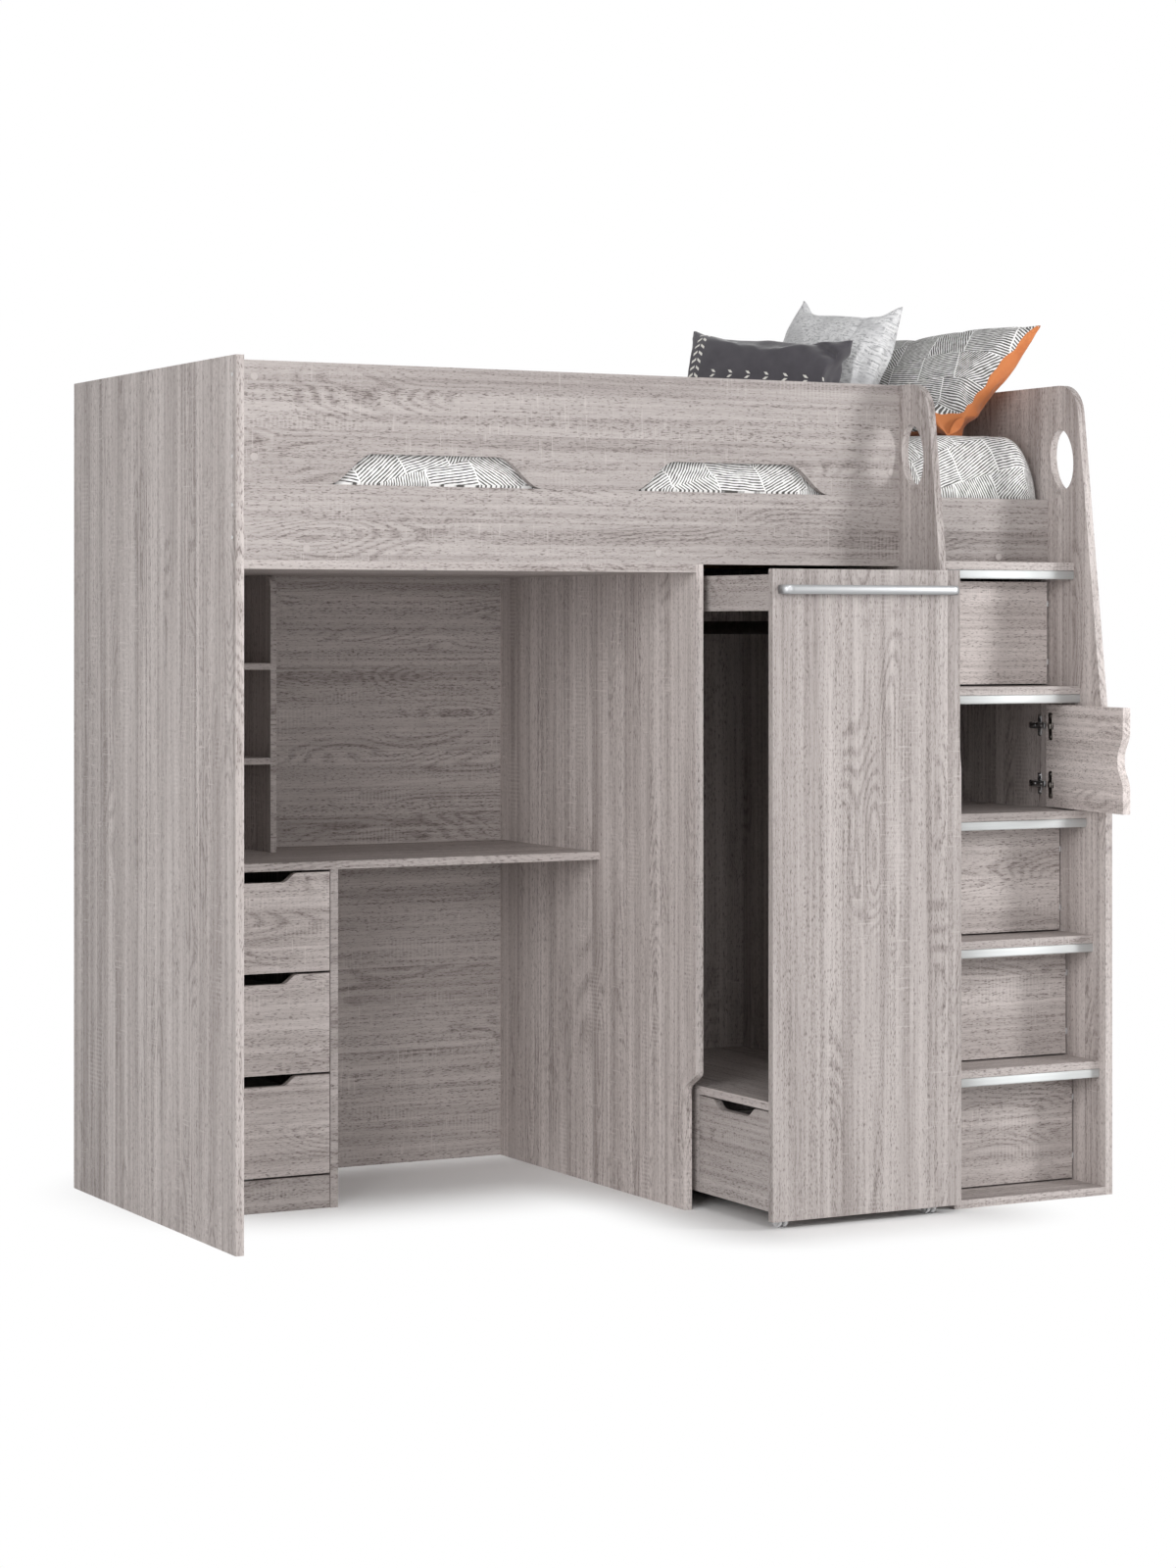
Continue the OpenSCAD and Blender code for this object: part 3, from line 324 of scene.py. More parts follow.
def grey_oak(name, grain, seed, finish, painted_light=1.0):
    """Grey oak paper printed and pressed on chipboard, with matt resin over it.

    The eye gets staves of slightly different tone, dark dashes of pores along the grain, arched
    growth lines in some staves, and pale ticks across the grain as a coarse saw leaves them.
    """
    material, node, shader = new_material(name, IOR=1.5, Specular_IOR_Level=0.35)
    shift = np.random.default_rng(seed).uniform(-4, 4, 3)
    turn = [math.radians(a) for a in GRAIN_TURN[grain]]
    where = node("TexCoord", out="Object")
    board = node("Mapping", where, shift, turn)
    if name in ("oak_pedestal_boards", "oak_bookcase_boards"):
        # Their upright boards face sideways, and their grain runs up
        upright = node("Mapping", where, shift, (0, math.radians(90), 0))
        facing = node("SeparateXYZ", where.node.outputs["Normal"])
        sideways = node("Math ABSOLUTE", facing)
        board = node("Mix VECTOR", sideways, board, upright)
    parts = node("SeparateXYZ", board).node.outputs
    across = node("Math", parts["Y"], parts["Z"])
    # Staves about 90 mm wide, each cut from another place in the pattern
    stave = node("TexVoronoi", {"W": across, "Scale": 1 / finish.stave_width, "Randomness": 0.8},
                 out="Color", voronoi_dimensions="1D")
    wood = node("VectorMath MULTIPLY_ADD", stave, (7, 3, 3), board)
    grains = {}
    # Name: stretch along and across the grain per metre, detail and roughness of the noise
    for key, stretch, detail, rough in (
            ("figure", (3.0, 14, 14), 0.0, 0.3), ("where_figured", (2.4, 12, 12), 0.0, 0.5),
            ("streaks", (1.3, 110, 110), 2.0, 0.5), ("shade", (0.7, 24, 24), 2.0, 0.5),
            ("fibres", (18, 380, 380), 2.0, 0.6), ("pores", (100, 540, 540), 1.0, 0.5),
            ("sawn", (4.2, 15, 15), 0.0, 0.5), ("ticks", (230, 16, 16), 1.0, 0.5),
            ("where_ticked", (2.6, 9, 9), 1.0, 0.5)):
        stretched = node("VectorMath MULTIPLY", wood, stretch)
        grains[key] = node("TexNoise", stretched, 1.0, detail, rough)
    # Growth lines: dark where a sine of the figure noise peaks
    turns = node("Math MULTIPLY", grains["figure"], 2 * math.pi * GROWTH_LINES)
    wave = node("Math SINE", turns)
    line = node("MapRange", wave, -0.3, 1.0, 0.0, 1.0)
    figured = node("MapRange", grains["where_figured"], 0.54, 0.66, 0.04, 0.8)
    growth = node("Math MULTIPLY", line, figured)
    # Tone from 0, pale, to 1, dark
    stave_tone = node("SeparateColor", stave)
    tone = node("MapRange", grains["streaks"], 0.3, 0.7, 0.12, 0.5, clamp=False)
    much = 1.8 if grain == "upright" else 0.9
    broad = node("Math MULTIPLY_ADD", grains["shade"], much, -much / 2)
    tone = node("Math", tone, broad)
    fibre = node("Math MULTIPLY_ADD", grains["fibres"], 0.95, -0.475)
    tone = node("Math", tone, fibre)
    tone = node("Math MULTIPLY_ADD", stave_tone, 0.2, tone)
    tone = node("Math MULTIPLY_ADD", growth, 0.42, tone, use_clamp=True)
    colour = node("Mix RGBA", tone, finish.oak_pale, finish.oak_dark)
    # Pores about 10 mm long; real ones are 0.3 mm wide and are drawn 2 mm wide to show
    crowd = node("MapRange", grains["streaks"], 0.38, 0.62, 0.6, 0.5)
    shallow = node("Math MULTIPLY_ADD", growth, -0.1, crowd)
    deep = node("Math", shallow, 0.2)
    pore = node("MapRange", grains["pores"], shallow, deep, 0.0, 0.95)
    colour = node("Mix RGBA", pore, colour, finish.oak_pore)
    # Saw marks in patches, and single ticks across the grain
    steps = node("Math MULTIPLY", parts["X"], 2 * math.pi / finish.saw_pitch)
    saw = node("Math SINE", steps)
    saw = node("MapRange", saw, -0.4, 1.0, 0, 0.24)
    sawn = node("MapRange", grains["sawn"], 0.66, 0.76)
    saw = node("Math MULTIPLY", saw, sawn)
    tick = node("MapRange", grains["ticks"], 0.62, 0.72, 0, 0.35)
    ticked = node("MapRange", grains["where_ticked"], 0.48, 0.62)
    tick = node("Math MULTIPLY", tick, ticked)
    marks = node("Math MAXIMUM", saw, tick)
    colour = node("Mix RGBA", marks, colour, finish.oak_tick)
    # Painted light and shade: the colour is scaled for how much light falls on this board
    node("VectorMath SCALE", colour, painted_light, to=shader["Base Color"])
    node("MapRange", grains["streaks"], 0.2, 0.8, 0.5, 0.62, to=shader["Roughness"])
    relief = node("Math SUBTRACT", marks, pore)
    node("Bump", {"Height": relief, "Strength": 0.25, "Distance": 0.0006}, to=shader["Normal"])
    return material


def fine_board(name, pale, dark, stretch, roughness):
    """Planed or papered board: long streaks of noise, between a pale and a dark tone."""
    material, node, shader = new_material(name, IOR=1.5, Roughness=roughness)
    wide = node("VectorMath MULTIPLY", node("TexCoord", out="Object"), stretch)
    streak = node("TexNoise", wide, 1.0, 4.0, 0.6)
    tone = node("MapRange", streak, 0.32, 0.68)
    node("Mix RGBA", tone, linear(pale), linear(dark), to=shader["Base Color"])
    node("Bump", {"Height": streak, "Strength": 0.15, "Distance": 0.0005}, to=shader["Normal"])
    return material


def worked_metal(name, pale, dark, stretch, low, high, metallic=1.0):
    """Drawn or plated metal: streaks of noise vary its tone, and its roughness from low to high."""
    material, node, shader = new_material(name, Metallic=metallic)
    wide = node("VectorMath MULTIPLY", node("TexCoord", out="Object"), stretch)
    streak = node("TexNoise", wide, 1.0, 3.0)
    node("Mix RGBA", streak, linear(pale), linear(dark), to=shader["Base Color"])
    node("MapRange", streak, 0.3, 0.7, low, high, to=shader["Roughness"])
    return material


def moulded_plastic(name, colour, roughness, transmission=0.0):
    """Moulded plastic: even colour with a faint mottle and the mould's fine grain."""
    material, node, shader = new_material(name, IOR=1.49, Roughness=roughness,
                                          Transmission_Weight=transmission)
    mottle = node("TexNoise", node("TexCoord", out="Object"), 180.0, 2.0)
    tint = node("MapRange", mottle, 0.3, 0.7, 0.94, 1.0)
    node("Mix RGBA", 1.0, linear(colour), tint, to=shader["Base Color"], blend_type="MULTIPLY")
    node("Bump", {"Height": mottle, "Strength": 0.1, "Distance": 0.0003}, to=shader["Normal"])
    return material


def woven_height(node, where, pitch):
    """Height of a plain weave: the product of two sines, a thread apart, on the flat cloth."""
    parts = node("SeparateXYZ", where).node.outputs
    waves = []
    for axis in "XY":
        turns = node("Math MULTIPLY", parts[axis], 2 * math.pi / pitch)
        waves.append(node("Math SINE", turns))
    return node("Math MULTIPLY", *waves)


def hatched_cotton(name, bedding, shift, ink, lining=None):
    """White cotton printed with blocks of hand-drawn hatching, each block at its own angle.

    A lining is the colour of the strip that folds round from the back at the near side and corner.

    Rows of slanted blocks stand a random part of a block apart. In each block the strokes are a
    sine across the block's own direction, and noise thins and thickens them as a pen does.
    """
    material, node, shader = new_material(name, Roughness=0.88, Sheen_Weight=0.15,
                                          Sheen_Roughness=0.5)
    flat = node("UVMap", uv_map="flat")
    moved = node("VectorMath", flat, shift)
    wobble = node("TexNoise", moved, 16.0, 2.0, out="Color")
    bent = node("VectorMath MULTIPLY_ADD", wobble, (0.008, 0.008, 0), moved)
    slant = node("VectorMath DOT_PRODUCT", bent, (1.0, 0.45, 0))
    rise = node("VectorMath DOT_PRODUCT", bent, (-0.25, 1.0, 0))
    row = node("Math DIVIDE", rise, bedding.block_height)
    row = node("Math FLOOR", row)
    apart = node("TexWhiteNoise", row, noise_dimensions="1D")
    column = node("Math DIVIDE", slant, bedding.block_width)
    placed = node("Math", column, apart)
    column = node("Math FLOOR", placed)
    block = node("CombineXYZ", column, row)
    chance = node("TexWhiteNoise", block)
    angle = node("Math MULTIPLY", chance, math.pi)
    cosine = node("Math COSINE", angle)
    sine = node("Math SINE", angle)
    heading = node("CombineXYZ", cosine, sine)
    across = node("VectorMath DOT_PRODUCT", bent, heading)
    turns = node("Math MULTIPLY", across, 2 * math.pi / bedding.stroke_pitch)
    stroke = node("Math SINE", turns)
    pen = node("TexNoise", moved, 75.0, 1.0)
    pen = node("Math MULTIPLY_ADD", pen, 2.2, ink - 1.1)
    stroke = node("Math", stroke, pen)
    drawn = node("MapRange", stroke, -0.35, 0.35)
    # A gap of plain cloth about 5 mm wide parts the blocks
    gap = node("Math PINGPONG", placed, 0.5)
    gap = node("MapRange", gap, 0.01, 0.02)
    drawn = node("Math MULTIPLY", drawn, gap)
    colour = node("Mix RGBA", drawn, bedding.cotton_white, bedding.cotton_ink)
    if lining:
        # The strip's edge runs down the near side and slants across the lower corner, in waves
        waves = node("TexNoise", flat, 24.0, 0.0)
        edges = []
        for way, limit, wavy in (((1, 0, 0), 0.332, 0.014), ((1, -1.3, 0), 0.485, 0.09)):
            reach = node("VectorMath DOT_PRODUCT", flat, way)
            reach = node("Math MULTIPLY_ADD", waves, wavy, reach)
            edges.append(node("Math GREATER_THAN", reach, limit + wavy / 4))
        strip = node("Math MAXIMUM", *edges)
        colour = node("Mix RGBA", strip, colour, linear(lining))
    feed(colour, shader["Base Color"])
    # Threads are 0.4 mm apart on the real cloth and drawn 1.6 mm apart
    weave = woven_height(node, flat, 0.0016)
    node("Bump", {"Height": weave, "Strength": 0.12, "Distance": 0.0003}, to=shader["Normal"])
    return material


def plain_cotton(name, colour, fade, bedding, sheen=0.2, stitched=False):
    """Plain-woven dyed cotton: a soft mottle, a faint weave, and a little sheen at grazing light.

    Where stitched, pale thread dashes run in pairs down one side and as open chevrons below.
    """
    material, node, shader = new_material(name, Roughness=0.85, Sheen_Weight=sheen,
                                          Sheen_Roughness=0.45)
    flat = node("UVMap", uv_map="flat")
    mottle = node("TexNoise", flat, 22.0, 5.0, 0.6)
    tone = node("MapRange", mottle, 0.3, 0.7)
    shade = node("Mix RGBA", tone, linear(colour), linear(fade))
    if stitched:
        parts = node("SeparateXYZ", flat).node.outputs
        # Each band: which way it runs, where it lies, its half width, half the dashes' distance,
        # their slant, half a dash's thickness, and where along its run it begins
        for run, side, line, half, pitch, slant, thread, first in (
                ("Y", "X", bedding.stitch_side, 0.015, 0.009, 0.6, 0.0032, -1.0),
                ("X", "Y", bedding.stitch_foot, 0.009, 0.026, 1.1, 0.0042, -0.13)):
            off = node("Math SUBTRACT", parts[side], line)
            far = node("Math ABSOLUTE", off)
            inside = node("Math LESS_THAN", far, half)
            gap = node("Math GREATER_THAN", far, 0.0025)
            lean = node("Math MULTIPLY_ADD", far, slant, parts[run])
            beat = node("Math PINGPONG", lean, pitch)
            dash = node("Math LESS_THAN", beat, thread)
            begun = node("Math GREATER_THAN", parts[run], first)
            mark = inside
            for part in (gap, begun, dash):
                mark = node("Math MULTIPLY", mark, part)
            shade = node("Mix RGBA", mark, shade, bedding.stitch_thread)
    feed(shade, shader["Base Color"])
    # Threads drawn 2 mm apart, so that they show
    weave = woven_height(node, flat, 0.002)
    node("Bump", {"Height": weave, "Strength": 0.15, "Distance": 0.0004}, to=shader["Normal"])
    return material


def heather_wool(name):
    """Felted wool of white and grey fibres: short streaks that cross, and a soft nap."""
    material, node, shader = new_material(name, Roughness=0.95, Sheen_Weight=0.35,
                                          Sheen_Roughness=0.6)
    flat = node("UVMap", uv_map="flat")
    shade = linear("#e6e6e7")
    # Fibres about 15 mm long, drawn 3 mm wide to show, lying both ways, and a soft cloudiness
    for stretch, fibre, low in (((60, 260, 1), "#77777b", 0.47), ((240, 70, 1), "#f6f6f6", 0.5),
                                ((14, 14, 1), "#bcbcbe", 0.47)):
        wide = node("VectorMath MULTIPLY", flat, stretch)
        lie = node("TexNoise", {"Vector": wide, "Scale": 1.0, "Detail": 3.0, "Distortion": 0.6})
        much = node("MapRange", lie, low, low + 0.2, 0.0, 0.8)
        shade = node("Mix RGBA", much, shade, linear(fibre))
    feed(shade, shader["Base Color"])
    node("Bump", {"Height": lie, "Strength": 0.3, "Distance": 0.001}, to=shader["Normal"])
    return material


def knitted_cover(name):
    """White polyester knit over foam: rows of small loops quilted in a wide diamond."""
    material, node, shader = new_material(name, Roughness=0.9, Sheen_Weight=0.2)
    where = node("TexCoord", out="Object")
    loops = woven_height(node, where, 0.004)
    tone = node("MapRange", woven_height(node, where, 0.16), -0.2, 0.4)
    node("Mix RGBA", tone, linear("#dddcda"), linear("#f1f0ee"), to=shader["Base Color"])
    node("Bump", {"Height": loops, "Strength": 0.2, "Distance": 0.0006}, to=shader["Normal"])
    return material


def seen_rays(node):
    """1 for camera, glossy and transmission rays, else 0."""
    rays = node("LightPath").node.outputs
    two = node("Math MAXIMUM", rays["Is Camera Ray"], rays["Is Glossy Ray"])
    return node("Math MAXIMUM", two, rays["Is Transmission Ray"])


# Settings


def length(name, description, default, least=0.0):
    """Length setting in metres."""
    return FloatProperty(name=name, description=description, default=default, min=least,
                         unit="LENGTH", precision=4)


def tint(name, description, colour):
    """Colour setting from an sRGB hex value."""
    return FloatVectorProperty(name=name, description=description, default=linear(colour),
                               size=4, subtype="COLOR")


def power(name, description, default):
    """Lamp power setting in watts."""
    return FloatProperty(name=name, description=description, default=default, min=0.0,
                         unit="POWER")


class SleeperFinish(bpy.types.PropertyGroup):
    """Sizes and colours of the grey oak print."""
    stave_width: length("Stave width", "Mean width of a printed stave", 0.09, 0.04)
    saw_pitch: length("Saw pitch", "Distance between saw marks across the grain", 0.0095, 0.004)
    oak_pale: tint("Pale oak", "Palest wood between the growth lines", "#c5bdba")
    oak_dark: tint("Dark oak", "Wood in the growth lines", "#958c89")
    oak_pore: tint("Pore", "Dashes of the pores", "#736966")
    oak_tick: tint("Tick", "Pale marks across the grain", "#d6cecb")


class SleeperFittings(bpy.types.PropertyGroup):
    """Sizes of the metal and plastic fittings."""
    bar_nose: length("Bar nose", "Radius of a tread bar's front edges", 0.004, 0.0005)
    handle_thickness: length("Handle thickness", "Thickness of the bow handle's bar", 0.008,
                             0.004)
    handle_bend: length("Handle bend", "Outer radius of the bow handle's bends", 0.024, 0.01)
    cap_dome: length("Cap dome", "Rise of a cover cap's dome over its rim", 0.0006)


class SleeperBedding(bpy.types.PropertyGroup):
    """Sizes and colours of the bedding."""
    block_width: length("Block width", "Width of a block of hatching", 0.115, 0.03)
    block_height: length("Block height", "Height of a block of hatching", 0.085, 0.03)
    stroke_pitch: length("Stroke pitch", "Distance between strokes of the hatching", 0.006, 0.003)
    cotton_white: tint("Cotton white", "Ground of the hatched cotton", "#f4f3f2")
    cotton_ink: tint("Cotton ink", "Strokes of the hatched cotton", "#53514e")
    stitch_thread: tint("Stitch thread", "Thread of the dark cushion's stitches", "#e9e6df")
    stitch_side: length("Side stitches", "Place of the stitches beside the cushion's middle",
                        -0.172, -0.3)
    stitch_foot: length("Foot stitches", "Place of the stitches below the cushion's middle",
                        0.001, -0.3)
    puff: length("Duvet puff", "Height of the duvet's soft rises", 0.009)


class SleeperStage(bpy.types.PropertyGroup):
    """Camera and lamps of the studio."""
    lens: FloatProperty(
        name="Lens", description="Focal length for a 36 mm tall picture", default=78.675,
        min=20.0, unit="CAMERA")
    camera_place: FloatVectorProperty(
        name="Camera place", description="Where the camera stands", size=3, unit="LENGTH",
        default=(-3.66774, -6.74369, 1.27728))
    camera_turn: FloatVectorProperty(
        name="Camera turn", description="How the camera is turned", size=3, subtype="EULER",
        default=(math.radians(90.092), 0.0, math.radians(-28.18)))
    picture_shift: FloatProperty(
        name="Picture shift", description="Upward shift of the picture, in picture heights",
        default=-0.10386)
    ambient: FloatProperty(
        name="Ambient", description="Strength of the even light from all round", default=0.33,
        min=0.0)
    overhead: FloatProperty(
        name="Overhead", description="Strength of the wide soft sun from above", default=0.1,
        min=0.0)
    key_power: power("Key", "Power of the soft box at the front right", 70.0)
    front_power: power("Front", "Power of the wide soft box in front of the bed", 45.0)
    fill_power: power("Fill", "Power of the wide soft box at the front left", 128.0)
    high_power: power("High", "Power of the soft box high in front of the bed", 30.0)


# Operators


class SLEEPER_OT_boards(bpy.types.Operator):
    """Gives every board its printed oak, pine or plain finish"""
    bl_idname = "sleeper.boards"
    bl_label = "Finish Boards"

    def execute(self, context):
        finish = context.scene.sleeper_finish
        seed = 20
        for grain, names in GRAIN.items():
            for name in names:
                seed += 1
                # Each board's oak carries its painted light and shade as a scale of its colour
                paint(name, grey_oak(f"oak_{name}", grain, seed, finish,
                                     PAINTED_LIGHT.get(name, 1.0)))
        pine = fine_board("planed_pine", "#d9bd90", "#c09a67", (60, 3, 60), 0.6)
        paint("slat_base", pine)
        box_board = fine_board("papered_box_board", "#b9b2af", "#aaa29f", (30, 30, 300), 0.5)
        for k in DRAWERS:
            paint(f"desk_drawer_box_{k}", box_board)
        paint("side_drawer_box", box_board)
        return {"FINISHED"}


def paint(name, material):
    """Puts a material on every slot of a node's object."""
    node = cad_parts[name]
    if not node.material_slots:
        node.data.materials.append(material)
    for slot in node.material_slots:
        slot.material = material


def finishes():
    """The metals and plastics that several fittings share, made once."""
    made = bpy.data.materials
    if "matt_aluminium" not in made:
        # Anodised aluminium, blasted matt: its milky film scatters light, so it is evenly bright
        worked_metal("matt_aluminium", "#e2e5e5", "#d6d9d9", (4, 260, 260), 0.58, 0.7, 0.4)
        # Anodised aluminium, brushed along the bar: a grey gleam with fine streaks
        worked_metal("brushed_aluminium", "#b4b5b6", "#949597", (4, 260, 260), 0.36, 0.48)
        # Nickel-plated steel: warm grey and softly reflecting
        worked_metal("nickel_steel", "#b3ada8", "#8f8985", (90, 90, 90), 0.25, 0.4)
        # Zinc-plated steel: cool, bright and slightly cloudy
        worked_metal("zinc_steel", "#e0e2e4", "#c4c6c8", (120, 120, 120), 0.25, 0.4)
        # Oil-blacked steel: dark brown-grey with a dull gleam
        worked_metal("blacked_steel", "#5a5450", "#3b3734", (90, 90, 90), 0.38, 0.55)
        # Clear polycarbonate, slightly milky from its moulding
        moulded_plastic("clear_polycarbonate", "#f6f6f7", 0.15, 0.3)
        # Grey polyethylene caps, matched to the board's palest wood
        moulded_plastic("grey_polyethylene", "#b5adaa", 0.55)
        knitted_cover("knitted_cover")
    return made


class SLEEPER_OT_rails(bpy.types.Operator):
    """Finishes the runners, the castor frames and the hanging rail with its sockets"""
    bl_idname = "sleeper.rails"
    bl_label = "Finish Rails"

    def execute(self, context):
        made = finishes()
        for name in ("desk_drawer_runners", "side_drawer_runners", "rail_sockets",
                     "castor_frames"):
            paint(name, made["zinc_steel"])
        paint("hanging_rail", made["blacked_steel"])
        return {"FINISHED"}


class SLEEPER_OT_handle(bpy.types.Operator):
    """Makes the wardrobe's bow handle of oval aluminium bar"""
    bl_idname = "sleeper.handle"
    bl_label = "Make Bow Handle"

    def execute(self, context):
        fittings = context.scene.sleeper_fittings
        low, high = box("wardrobe_handle")
        half, bend = fittings.handle_thickness / 2, fittings.handle_bend
        # The bar's middle line: out from the panel, round one bend, along, and back
        turns = np.linspace(0, math.pi / 2, 12)
        run = bend - half
        left = np.stack([low[0] + bend - run * np.cos(turns), low[1] + bend - run * np.sin(turns)],
                        axis=1)
        right = np.stack([high[0] - bend + run * np.sin(turns),
                          low[1] + bend - run * np.cos(turns)], axis=1)
        line = np.concatenate([[[low[0] + half, high[1]]], left,
                               right, [[high[0] - half, high[1]]]])
        ahead = np.gradient(line, axis=0)
        ahead[0], ahead[-1] = (0, -1), (0, 1)
        ahead /= np.linalg.norm(ahead, axis=1)[:, None]
        across = np.stack([ahead[:, 1], -ahead[:, 0], np.zeros(len(ahead))], axis=1)
        path = np.column_stack([line, np.full(len(line), (low[2] + high[2]) / 2)])
        # Oval section, so the bar's face is crowned
        a = np.linspace(0, 2 * math.pi, 24, endpoint=False)
        profile = np.stack([half * np.cos(a), (high[2] - low[2]) / 2 * np.sin(a)], axis=1)
        bow = swept(path, across, (0, 0, 1), profile)
        add_piece("bow_handle", [bow], [finishes()["brushed_aluminium"]], "wardrobe",
                  ["wardrobe_handle"])
        return {"FINISHED"}


class SLEEPER_OT_bars(bpy.types.Operator):
    """Makes the five tread bars of drawn aluminium with rounded front edges"""
    bl_idname = "sleeper.bars"
    bl_label = "Make Tread Bars"

    def execute(self, context):
        nose = context.scene.sleeper_fittings.bar_nose
        left, right = span("tread_bars")[:, 0]
        shells = []
        for k in DOORS:
            front, top = step(k)
            low = place(left, front, top - BAR_HIGH)
            high = place(right, front + BAR_DEEP, top)
            middle, half = (low + high) / 2, (high - low) / 2
            outline = rounded_outline(half[1], half[2], nose)
            # The back edges lie 2% further back, up to the bar's back, and so are squarer
            back = outline[:, 0] > 0
            outline[back, 0] = np.minimum(half[1], outline[back, 0] * 1.02)
            path = np.array([[x, middle[1], middle[2]] for x in (low[0], high[0])])
            shells.append(swept(path, [[0, 1, 0], [0, 1, 0]], (0, 0, 1), outline))
        add_piece("tread_bar_set", shells, [finishes()["matt_aluminium"]], "frame",
                  ["tread_bars"])
        return {"FINISHED"}


class SLEEPER_OT_castors(bpy.types.Operator):
    """Makes the twin castor wheels with tyre, dished side and hub"""
    bl_idname = "sleeper.castors"
    bl_label = "Make Castor Wheels"

    def execute(self, context):
        wide, bore = 0.008, 0.0016
        for k in range(1, 5):
            low, high = box(f"castor_wheels_{k}")
            centre, r = (low + high) / 2, (high[2] - low[2]) / 2
            # Half section from the inner face's bore out to the tyre and back to the hub
            section = np.array([
                [0, bore], [0, r * 0.9], [0.0006, r * 0.96], [0.0018, r], [wide - 0.0018, r],
                [wide - 0.0006, r * 0.96], [wide, r * 0.88], [wide - 0.0012, r * 0.82],
                [wide - 0.0016, r * 0.45], [wide - 0.0004, r * 0.38], [wide, r * 0.3],
                [wide, bore]])
            shells = []
            for side in (1, -1):
                start = side * (high[0] - low[0]) / 2 - side * wide
                profile = np.column_stack([start + side * section[:, 0], section[:, 1]])
                shells.append(turned_shape(centre, 0, profile, 36))
            add_piece(f"twin_wheel_{k}", shells, [finishes()["clear_polycarbonate"]],
                      f"castor_wheels_{k}", [f"castor_wheels_{k}"])
        return {"FINISHED"}


class SLEEPER_OT_hinges(bpy.types.Operator):
    """Makes the hinge plates with their arms, and the cups in the doors"""
    bl_idname = "sleeper.hinges"
    bl_label = "Make Hinges"

    def execute(self, context):
        made = finishes()
        mounts = []
        screw = np.array([[0.4, 3.4], [-0.5, 3.2], [-0.9, 2.6], [-0.9, 1.5], [-0.3, 1.0],
                          [-0.3, 0.1]]) / 1000
        # How far right the arms' faces, the board under the plates and the plates' faces lie
        face, board = span("hinge_mounts")[:, 0]
        plate = board - 3
        for k in DOORS:
            door, heights = hinge_line(k)
            arm = door + 22
            for z in heights:
                for low, high, axis, corner, edge in (
                        ((plate - 0.7, door - 1, z - 7), (board, arm + 12, z + 7), 0, 1.5, 0.6),
                        ((plate, arm + 12, z - 7), (board, arm + 74, z + 7), 0, 3, 0.8),
                        ((plate, arm + 27, z - 25), (board, arm + 40, z + 25), 0, 5, 0.8),
                        ((face, arm, z - 7), (plate, arm + 54, z + 7), 1, 3, 1.2)):
                    mounts.append(rounded_block(place(*low), place(*high), axis, corner / 1000,
                                                edge / 1000))
                # Two adjusting screws with dished heads on the arm, and one in each wing
                for x, y, dz in ((face, 14, 0), (face, 38, 0), (plate, 33.5, 19),
                                 (plate, 33.5, -19)):
                    mounts.append(turned_shape(place(x, arm + y, z + dz), 0, screw, 16))
        add_piece("hinge_plates", mounts, [made["zinc_steel"]], "frame", ["hinge_mounts"])
        # Cup: a rim over the flange, then the dish with its floor
        rim = np.array([[0.002, 0.0125], [0.0032, 0.0122], [0.0032, 0.0112], [-0.006, 0.0105],
                        [-0.006, 0.0002]])
        screw = np.array([[-0.0004, 0.0034], [0.0006, 0.0032], [0.001, 0.0024], [0.0004, 0.0012],
                          [0.0004, 0.0001]])
        for k in DOORS:
            door, heights = hinge_line(k)
            pivot = place(plate - 1, door, 0)
            spin = about_z(math.radians(OPEN_DEGREES if k == OPEN_DOOR else 0))
            cups = []
            for z in heights:
                middle = np.array([-0.026, 0.018, z / 1000])
                cups += [rounded_block(middle + [-0.01, 0, -0.0315], middle + [0.01, 0.002, 0.0315],
                                       1, 0.007, 0.0007),
                         turned_shape(middle, 1, rim, 32),
                         # Link that reaches from the cup towards the plate
                         rounded_block(middle + [-0.004, 0.001, -0.006],
                                       middle + [0.0065, 0.0055, 0.006], 0, 0.002, 0.001)]
                cups += [turned_shape(middle + [0, 0.002, dz], 1, screw, 16)
                         for dz in (-0.024, 0.024)]
            cups = [(points @ spin.T + pivot, groups, mark) for points, groups, mark in cups]
            add_piece(f"door_cups_{k}", cups, [made["nickel_steel"]], f"cupboard_door_{k}",
                      [f"hinge_cups_{k}"])
        return {"FINISHED"}


def hinge_line(k):
    """Front of door k, counted from the top, and the heights of its hinges, in millimetres."""
    front, top = step(k)
    behind_bar, below_step = 98, np.array([209, 75])
    return front + behind_bar, top - below_step


